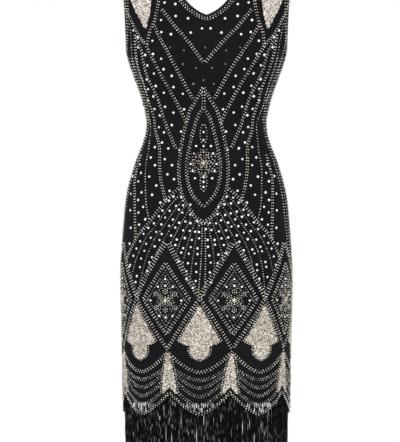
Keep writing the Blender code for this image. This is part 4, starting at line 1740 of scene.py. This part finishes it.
@dataclass
class Lozenges:
    """The diamonds all round the hips, one over each cusp of the hem."""

    top: float = -0.6217
    middle: float = -0.7309
    bottom: float = -0.8290
    half_width: float = 0.0600
    inner_top: float = -0.6600
    inner_bottom: float = -0.8010
    inner_half_width: float = 0.0440
    outer_inset: float = 0.0030
    inner_inset: float = -0.0088
    rosette_height: float = -0.7340
    studs: tuple[Pair, ...] = (
        (0.0, 0.0420), (0.0, 0.0290), (0.0140, 0.0270), (0.0290, 0.0), (0.0125, -0.0305),
        (0.0, -0.0330)
    )
    petals: tuple[Pair, ...] = (
        (0.0172, 0.0130), (0.0172, -0.0140), (0.0, 0.0175), (0.0, -0.0190), (0.0085, -0.0070),
        (0.0095, 0.0075)
    )
    petal_rings: tuple[tuple[float, int, Kind], ...] = ((0.0, 1, Kind.BEAD), (0.0040, 6, Kind.BEAD))
    heart_rings: tuple[tuple[float, int, Kind], ...] = (
        (0.0, 1, Kind.STUD), (0.0038, 6, Kind.GOLD), (0.0072, 8, Kind.GOLD)
    )
    fill_pitch: float = 0.0046
    fill_gap: float = 0.0036
    fill_reach: float = 0.66
    eye: Pair = (0.0175, 0.0080)

    def turn(self, form: DressForm, index: int, across: Array, height: Array) -> Array:
        """The turn of a place by its distance from one lozenge's middle line."""
        return (index + 0.5) * form.scallop_pitch + np.asarray(across) / form.quarter(height)

    def above(self, form: DressForm, points: Array, clearance: float) -> Array:
        """Whether points lie above the lozenges' upper edges, by a clearance."""
        x, y, height = points.T
        ahead = form.share_across(Side.FRONT, x, height)
        share = np.where(y < 0, ahead, 2 - form.share_across(Side.BACK, x, height))
        turn = np.where(x < 0, -share, share) - form.twist_at(height)
        middle = (np.round(turn / form.scallop_pitch - 0.5) + 0.5) * form.scallop_pitch
        aside = np.abs(turn - form.spread(middle, height)) * form.quarter(height)
        edge = mixed(self.top, self.middle, np.clip(aside / self.half_width, 0, 1))
        return height > edge + clearance

    def edge(self, tailor: Tailor, index: int, sign: int, ends: Sequence[Pair]) -> Course:
        """A straight edge of one lozenge, between two places across and up."""
        share = np.linspace(0, 1, 9)
        across = sign * mixed(ends[0][0], ends[1][0], share)
        height = mixed(ends[0][1], ends[1][1], share)
        turn = self.turn(tailor.form, index, across, height)
        return tailor.around(turn, height, bent=False)

    def lay(self, sewing: Embroidery) -> None:
        """Sews the outer and inner diamonds, the rosettes and the studs."""
        tailor = sewing.tailor
        for index in range(int(4 / tailor.form.scallop_pitch)):
            group = f"lozenges_{face_of(index)}"
            for sign in (-1, 1):
                corner = (self.half_width, self.middle)
                upper = self.edge(tailor, index, sign, ((0.0, self.top), corner))
                lower = self.edge(tailor, index, sign, (corner, (0.0, self.bottom)))
                sewing.rows(group, upper, 3, self.outer_inset * sign)
                sewing.rows(group, lower, 2)
                corner = (self.inner_half_width, self.middle)
                for ends in (((0.0, self.inner_top), corner), (corner, (0.0, self.inner_bottom))):
                    edge = self.edge(tailor, index, sign, ends)
                    sewing.rows(group, edge, 2)
                    sewing.rows(group, edge, 1, self.inner_inset * sign, Kind.DIM)
            self._lay_rosette(sewing, index, group)

    def _lay_rosette(self, sewing: Embroidery, index: int, group: str) -> None:
        """Sews one lozenge's rosette and the studs round it."""
        taken, petals = (
            [(sign * x, y) for x, y in marks for sign in ((-1, 1) if x else (1,))]
            for marks in (self.studs, self.petals)
        )
        self._lay_spots(sewing, index, group, Kind.SMALL, taken)
        for middles, rings in ((petals, self.petal_rings), ([(0.0, 0.0)], self.heart_rings)):
            for radius, count, kind in rings:
                angle = np.arange(count) / count * 2 * math.pi
                marks = [
                    (x + radius * math.sin(step), y + radius * math.cos(step)) for x, y in middles
                    for step in angle
                ]
                self._lay_spots(sewing, index, group, kind, marks)
                taken += marks
        self._lay_spots(sewing, index, group, Kind.DIM, self._fill(np.array(taken)))

    def _fill(self, taken: Array) -> Array:
        """Staggered places in the inner diamond, away from those taken and from its two eyes."""
        steps = np.arange(-16, 17)
        across, up = np.meshgrid(steps * self.fill_pitch, steps * self.fill_pitch * STAGGER)
        across = across + (steps % 2)[:, None] * self.fill_pitch / 2
        marks = np.stack([across.ravel(), up.ravel()], axis=1)
        height = self.rosette_height + marks[:, 1]
        half_height = (self.inner_top - self.inner_bottom) / 2
        rim = np.abs(height - self.inner_bottom - half_height) / half_height
        rim = rim + np.abs(marks[:, 0]) / self.inner_half_width
        eye = (np.abs(marks[:, 0]) > self.eye[0]) & (np.abs(marks[:, 1]) < self.eye[1])
        gap = np.linalg.norm(marks[:, None] - taken[None], axis=2).min(axis=1)
        return marks[(rim < self.fill_reach) & ~eye & (gap > self.fill_gap)]

    def _lay_spots(
        self, sewing: Embroidery, index: int, group: str, kind: Kind, marks: Sequence[Pair]
    ) -> None:
        """Sews single pieces at places measured from one rosette's middle."""
        marks = np.array(marks)
        height = self.rosette_height + marks[:, 1]
        turn = self.turn(sewing.tailor.form, index, marks[:, 0], height)
        sewing.sew(group, kind, sewing.tailor.spot(turn, height))


@dataclass(frozen=True)
class Swag:
    """One hanging curve between two tails: how far out and how high its ends and its middle are."""

    reach: float
    end: float
    middle: float


@dataclass
class HemBand:
    """The swags, the scallops' edges, the outlines of the sequinned patches and the bugles."""

    swags: tuple[Swag, ...] = (
        Swag(0.0570, -0.8380, -0.8745), Swag(0.0490, -0.8690, -0.8900),
        Swag(0.0455, -0.8800, -0.9055), Swag(0.0435, -0.8950, -0.9220),
        Swag(0.0440, -0.9130, -0.9390)
    )
    swag_power: float = 1.7
    row_gap: float = 0.0046
    edge_insets: Pair = (0.0026, 0.0068)
    outline_gap: float = 0.0036
    bugle_reach: float = 0.046
    bugle_pitch: float = 0.0036
    bugle_rows: tuple[float, ...] = (-0.9400, -0.9490, -0.9580)
    bugle_share: float = 0.6
    bugle_clearance: float = 0.0045
    bugle_stray: float = 0.0012
    outline_tip: float = 1.6
    outline_pitch: float = 0.85

    def lay(self, sewing: Embroidery) -> None:
        """Sews the band all round the dress."""
        form = sewing.tailor.form
        for index in range(int(4 / form.scallop_pitch)):
            turn = index * form.scallop_pitch
            group = f"hem_{face_of(index)}"
            for number, swag in enumerate(self.swags):
                self._lay_swag(sewing, group, turn, swag, Kind.DIM if number else Kind.BEAD)
            self._lay_edge(sewing, group, turn)
            self._lay_bugles(sewing, group, turn)
            self._lay_outline(sewing, group, turn, SPADE_ROWS, SPADE_TIP)
            self._lay_outline(sewing, group, turn + form.scallop_pitch / 2, TAIL_ROWS, TAIL_TIP)

    def _lay_swag(
        self, sewing: Embroidery, group: str, turn: float, swag: Swag, kind: Kind
    ) -> None:
        """Sews the two rows of one swag."""
        share = np.linspace(-1, 1, 25)
        height = mixed(swag.end, swag.middle, 1 - np.abs(share) ** self.swag_power)
        turns = turn + share * swag.reach / sewing.tailor.form.quarter(height)
        sewing.rows(group, sewing.tailor.around(turns, height), 2, kind=kind)

    def _lay_edge(self, sewing: Embroidery, group: str, turn: float) -> None:
        """Sews the rows that follow one scallop's edge."""
        form = sewing.tailor.form
        for inset in self.edge_insets:
            turns = turn + np.linspace(-0.5, 0.5, 41) * form.scallop_pitch
            height = form.scallop_height(turns) + inset
            course = sewing.tailor.around(turns, height, bent=False)
            sewing.sew(group, Kind.BEAD, course.spaced(sewing.bead_pitch))

    def _lay_bugles(self, sewing: Embroidery, group: str, turn: float) -> None:
        """Sews upright bugles in the deepest part of one scallop."""
        form, random = sewing.tailor.form, sewing.tailor.random
        for height in self.bugle_rows:
            across = np.arange(-self.bugle_reach, self.bugle_reach, self.bugle_pitch)
            across = across[random.random(len(across)) < self.bugle_share]
            turns = turn + across / float(form.quarter(height))
            inside = form.scallop_height(
                turns
            ) + self.bugle_clearance < height - sewing.bugle_length / 2
            heights = height + random.normal(0, self.bugle_stray, len(turns))
            places = sewing.tailor.spot(turns, heights)
            sewing.sew(group, Kind.BUGLE, places.kept(inside))

    def _lay_outline(
        self, sewing: Embroidery, group: str, turn: float, rows: Sequence[PatchRow], tip: float
    ) -> None:
        """Sews a row round a sequinned patch."""
        height, _, outer = row_fields(rows)
        for sign in (-1, 1):
            across = np.concatenate([[0.0], outer + self.outline_gap, [0.0]])
            heights = tip + np.concatenate(
                [
                    [height[0] - self.outline_gap], height,
                    [height[-1] + self.outline_gap * self.outline_tip]
                ]
            )
            if rows is TAIL_ROWS:
                across, heights = across[1:], heights[1:]
            turns = turn + sign * across / sewing.tailor.form.quarter(heights)
            course = sewing.tailor.around(turns, heights, bent=False)
            sewing.sew(group, Kind.BEAD, course.spaced(sewing.bead_pitch * self.outline_pitch))


@dataclass(frozen=True)
class SoftLight:
    """A square area light that points at the dress."""

    name: str
    place: tuple[float, float, float]
    size: float
    power: float


@dataclass
class Studio:
    """A pale floor, soft white light all round and a camera level with the middle of the dress."""

    floor_height: float = -1.43
    floor_size: float = 3.0
    floor_colour: Colour = (0.80, 0.80, 0.79)
    world_strength: float = 1.0
    lights: tuple[SoftLight, ...] = (
        SoftLight("key_light", (-2.2, -3.4, 1.6), 1.0, 48.0),
        SoftLight("fill_light", (2.6, -3.0, 0.2), 1.4, 18.0),
        SoftLight("low_light", (0.4, -3.6, -1.2), 0.7, 12.0),
        SoftLight("back_light", (0.6, 3.4, 1.4), 1.2, 30.0)
    )
    aim: tuple[float, float, float] = (0.0, 0.0, -0.58)
    camera_place: tuple[float, float, float] = (-0.013, -6.0, -0.578)
    view_height: float = 0.884
    sensor: float = 36.0

    def build(self) -> None:
        """Sets up the floor, the light and the camera."""
        scene = bpy.context.scene
        scene.view_settings.view_transform = "Standard"
        self._add_floor()
        world = bpy.data.worlds.new("white_room")
        world.use_nodes = True
        background = world.node_tree.nodes["Background"]
        background.inputs["Color"].default_value = (1.0, 1.0, 1.0, 1.0)
        background.inputs["Strength"].default_value = self.world_strength
        scene.world = world
        for light in self.lights:
            data = bpy.data.lights.new(light.name, "AREA")
            data.size = light.size
            data.energy = light.power
            lamp = bpy.data.objects.new(light.name, data)
            lamp.location = light.place
            towards = Vector(self.aim) - Vector(light.place)
            lamp.rotation_euler = towards.to_track_quat("-Z", "Y").to_euler()
            scene.collection.objects.link(lamp)
        data = bpy.data.cameras.new("camera")
        data.sensor_fit = "VERTICAL"
        data.sensor_height = self.sensor
        data.lens = self.sensor * -self.camera_place[1] / self.view_height
        camera = bpy.data.objects.new("camera", data)
        camera.location = self.camera_place
        camera.rotation_euler = (math.pi / 2, 0.0, 0.0)
        scene.collection.objects.link(camera)
        scene.camera = camera

    def _add_floor(self) -> None:
        """Adds a round pale floor with a little unevenness in its paint."""
        bm = bmesh.new()
        bmesh.ops.create_circle(bm, cap_ends=True, segments=96, radius=self.floor_size)
        bmesh.ops.translate(bm, vec=(0, 0, self.floor_height), verts=bm.verts)
        mesh = mesh_of(bm, "floor")
        material, nodes = start_material("pale_paint", {"Specular IOR Level": 0.2})
        place = nodes.add("TexCoord").outputs["Object"]
        cloud = nodes.noise(place, 3.0, 4.0)
        colour = (*self.floor_colour, 1.0)
        paler = (*(value * 0.96 for value in self.floor_colour), 1.0)
        join_to_shader(nodes, nodes.blend(cloud, colour, paler), (cloud, 0.6, 0.8))
        mesh.materials.append(material)
        floor = bpy.data.objects.new("floor", mesh)
        bpy.context.scene.collection.objects.link(floor)


@dataclass
class Dress:
    """The whole dress, piece by piece."""

    front: ClothPanel = field(
        default_factory=lambda: ClothPanel(
            Side.FRONT, "cloth_front", -0.176, (0.071, -0.154), 0.003
        )
    )
    back: ClothPanel = field(
        default_factory=lambda: ClothPanel(Side.BACK, "cloth_back", -0.198, (0.072, -0.178), 0.009)
    )
    yoke_samples: int = 60

    def build(self, tailor: Tailor, nodes: dict[str, Piece]) -> None:
        """Makes every piece.

        Args:
            tailor: The maker of pieces.
            nodes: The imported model's own pieces, by name.
        """
        cloths = [panel.build(tailor) for panel in (self.front, self.back)]
        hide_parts("front")
        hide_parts("back")
        self._bind_neck(tailor)
        for half, name in ((Half.RIGHT, "right"), (Half.LEFT, "left")):
            self._bind_armhole(tailor, half, name)
        Fringe(Side.FRONT, "strands_front", "fringe_front").build(tailor)
        Fringe(Side.BACK, "strands_back", "fringe_back").build(tailor)
        SequinPatches().build(tailor, nodes)
        sewing = Embroidery(tailor)
        lozenges = Lozenges()
        for panel in (self.front, self.back):
            Bodice(panel.side, panel).lay(sewing, lozenges)
            Medallion(panel.side).lay(sewing)
            Fan(panel.side).lay(sewing, lozenges)
        lozenges.lay(sewing)
        HemBand().lay(sewing)
        sewing.build()

    def _bind_neck(self, tailor: Tailor) -> None:
        """Sweeps the neckline's band: down and up the front, then down and up the back."""
        parts = []
        for panel in (self.front, self.back):
            rows = np.linspace(panel.neck_rows, panel.yoke_rows, self.yoke_samples)
            first, second = (panel.edge(tailor.form, 0.0, rows, half) for half in Half)
            cut = 0 if panel is self.front else 1
            parts.append([values[::-1][cut:] for values in first])
            parts.append([values[1 : len(values) - cut] for values in second])
        points, outs = (np.vstack([part[i] for part in parts]) for i in (0, 1))
        Binding("neck_band", "neck_binding").build(tailor, points, outs)

    def _bind_armhole(self, tailor: Tailor, half: Half, name: str) -> None:
        """Sweeps one armhole's band, up its front and down its back."""
        other = Half.LEFT if half is Half.RIGHT else Half.RIGHT
        rows = np.linspace(0.0, self.front.yoke_rows, self.yoke_samples)
        ahead = self.front.edge(tailor.form, 1.0, rows, half)
        behind = self.back.edge(tailor.form, 1.0, rows, other)
        points, outs = (np.vstack([a, b[::-1][1:-1]]) for a, b in zip(ahead, behind))
        if half is Half.LEFT:
            points, outs = points[::-1], outs[::-1]
        Binding(f"armhole_band_{name}", f"armhole_binding_{name}").build(tailor, points, outs)


def main() -> None:
    """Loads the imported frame, dresses it and sets up the studio."""
    logging.basicConfig(level=logging.INFO, format="%(message)s")
    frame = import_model()
    Studio().build()
    tailor = Tailor(DressForm(), FinishBook())
    Dress().build(tailor, frame["nodes"])
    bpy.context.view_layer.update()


if __name__ == "__main__":
    main()
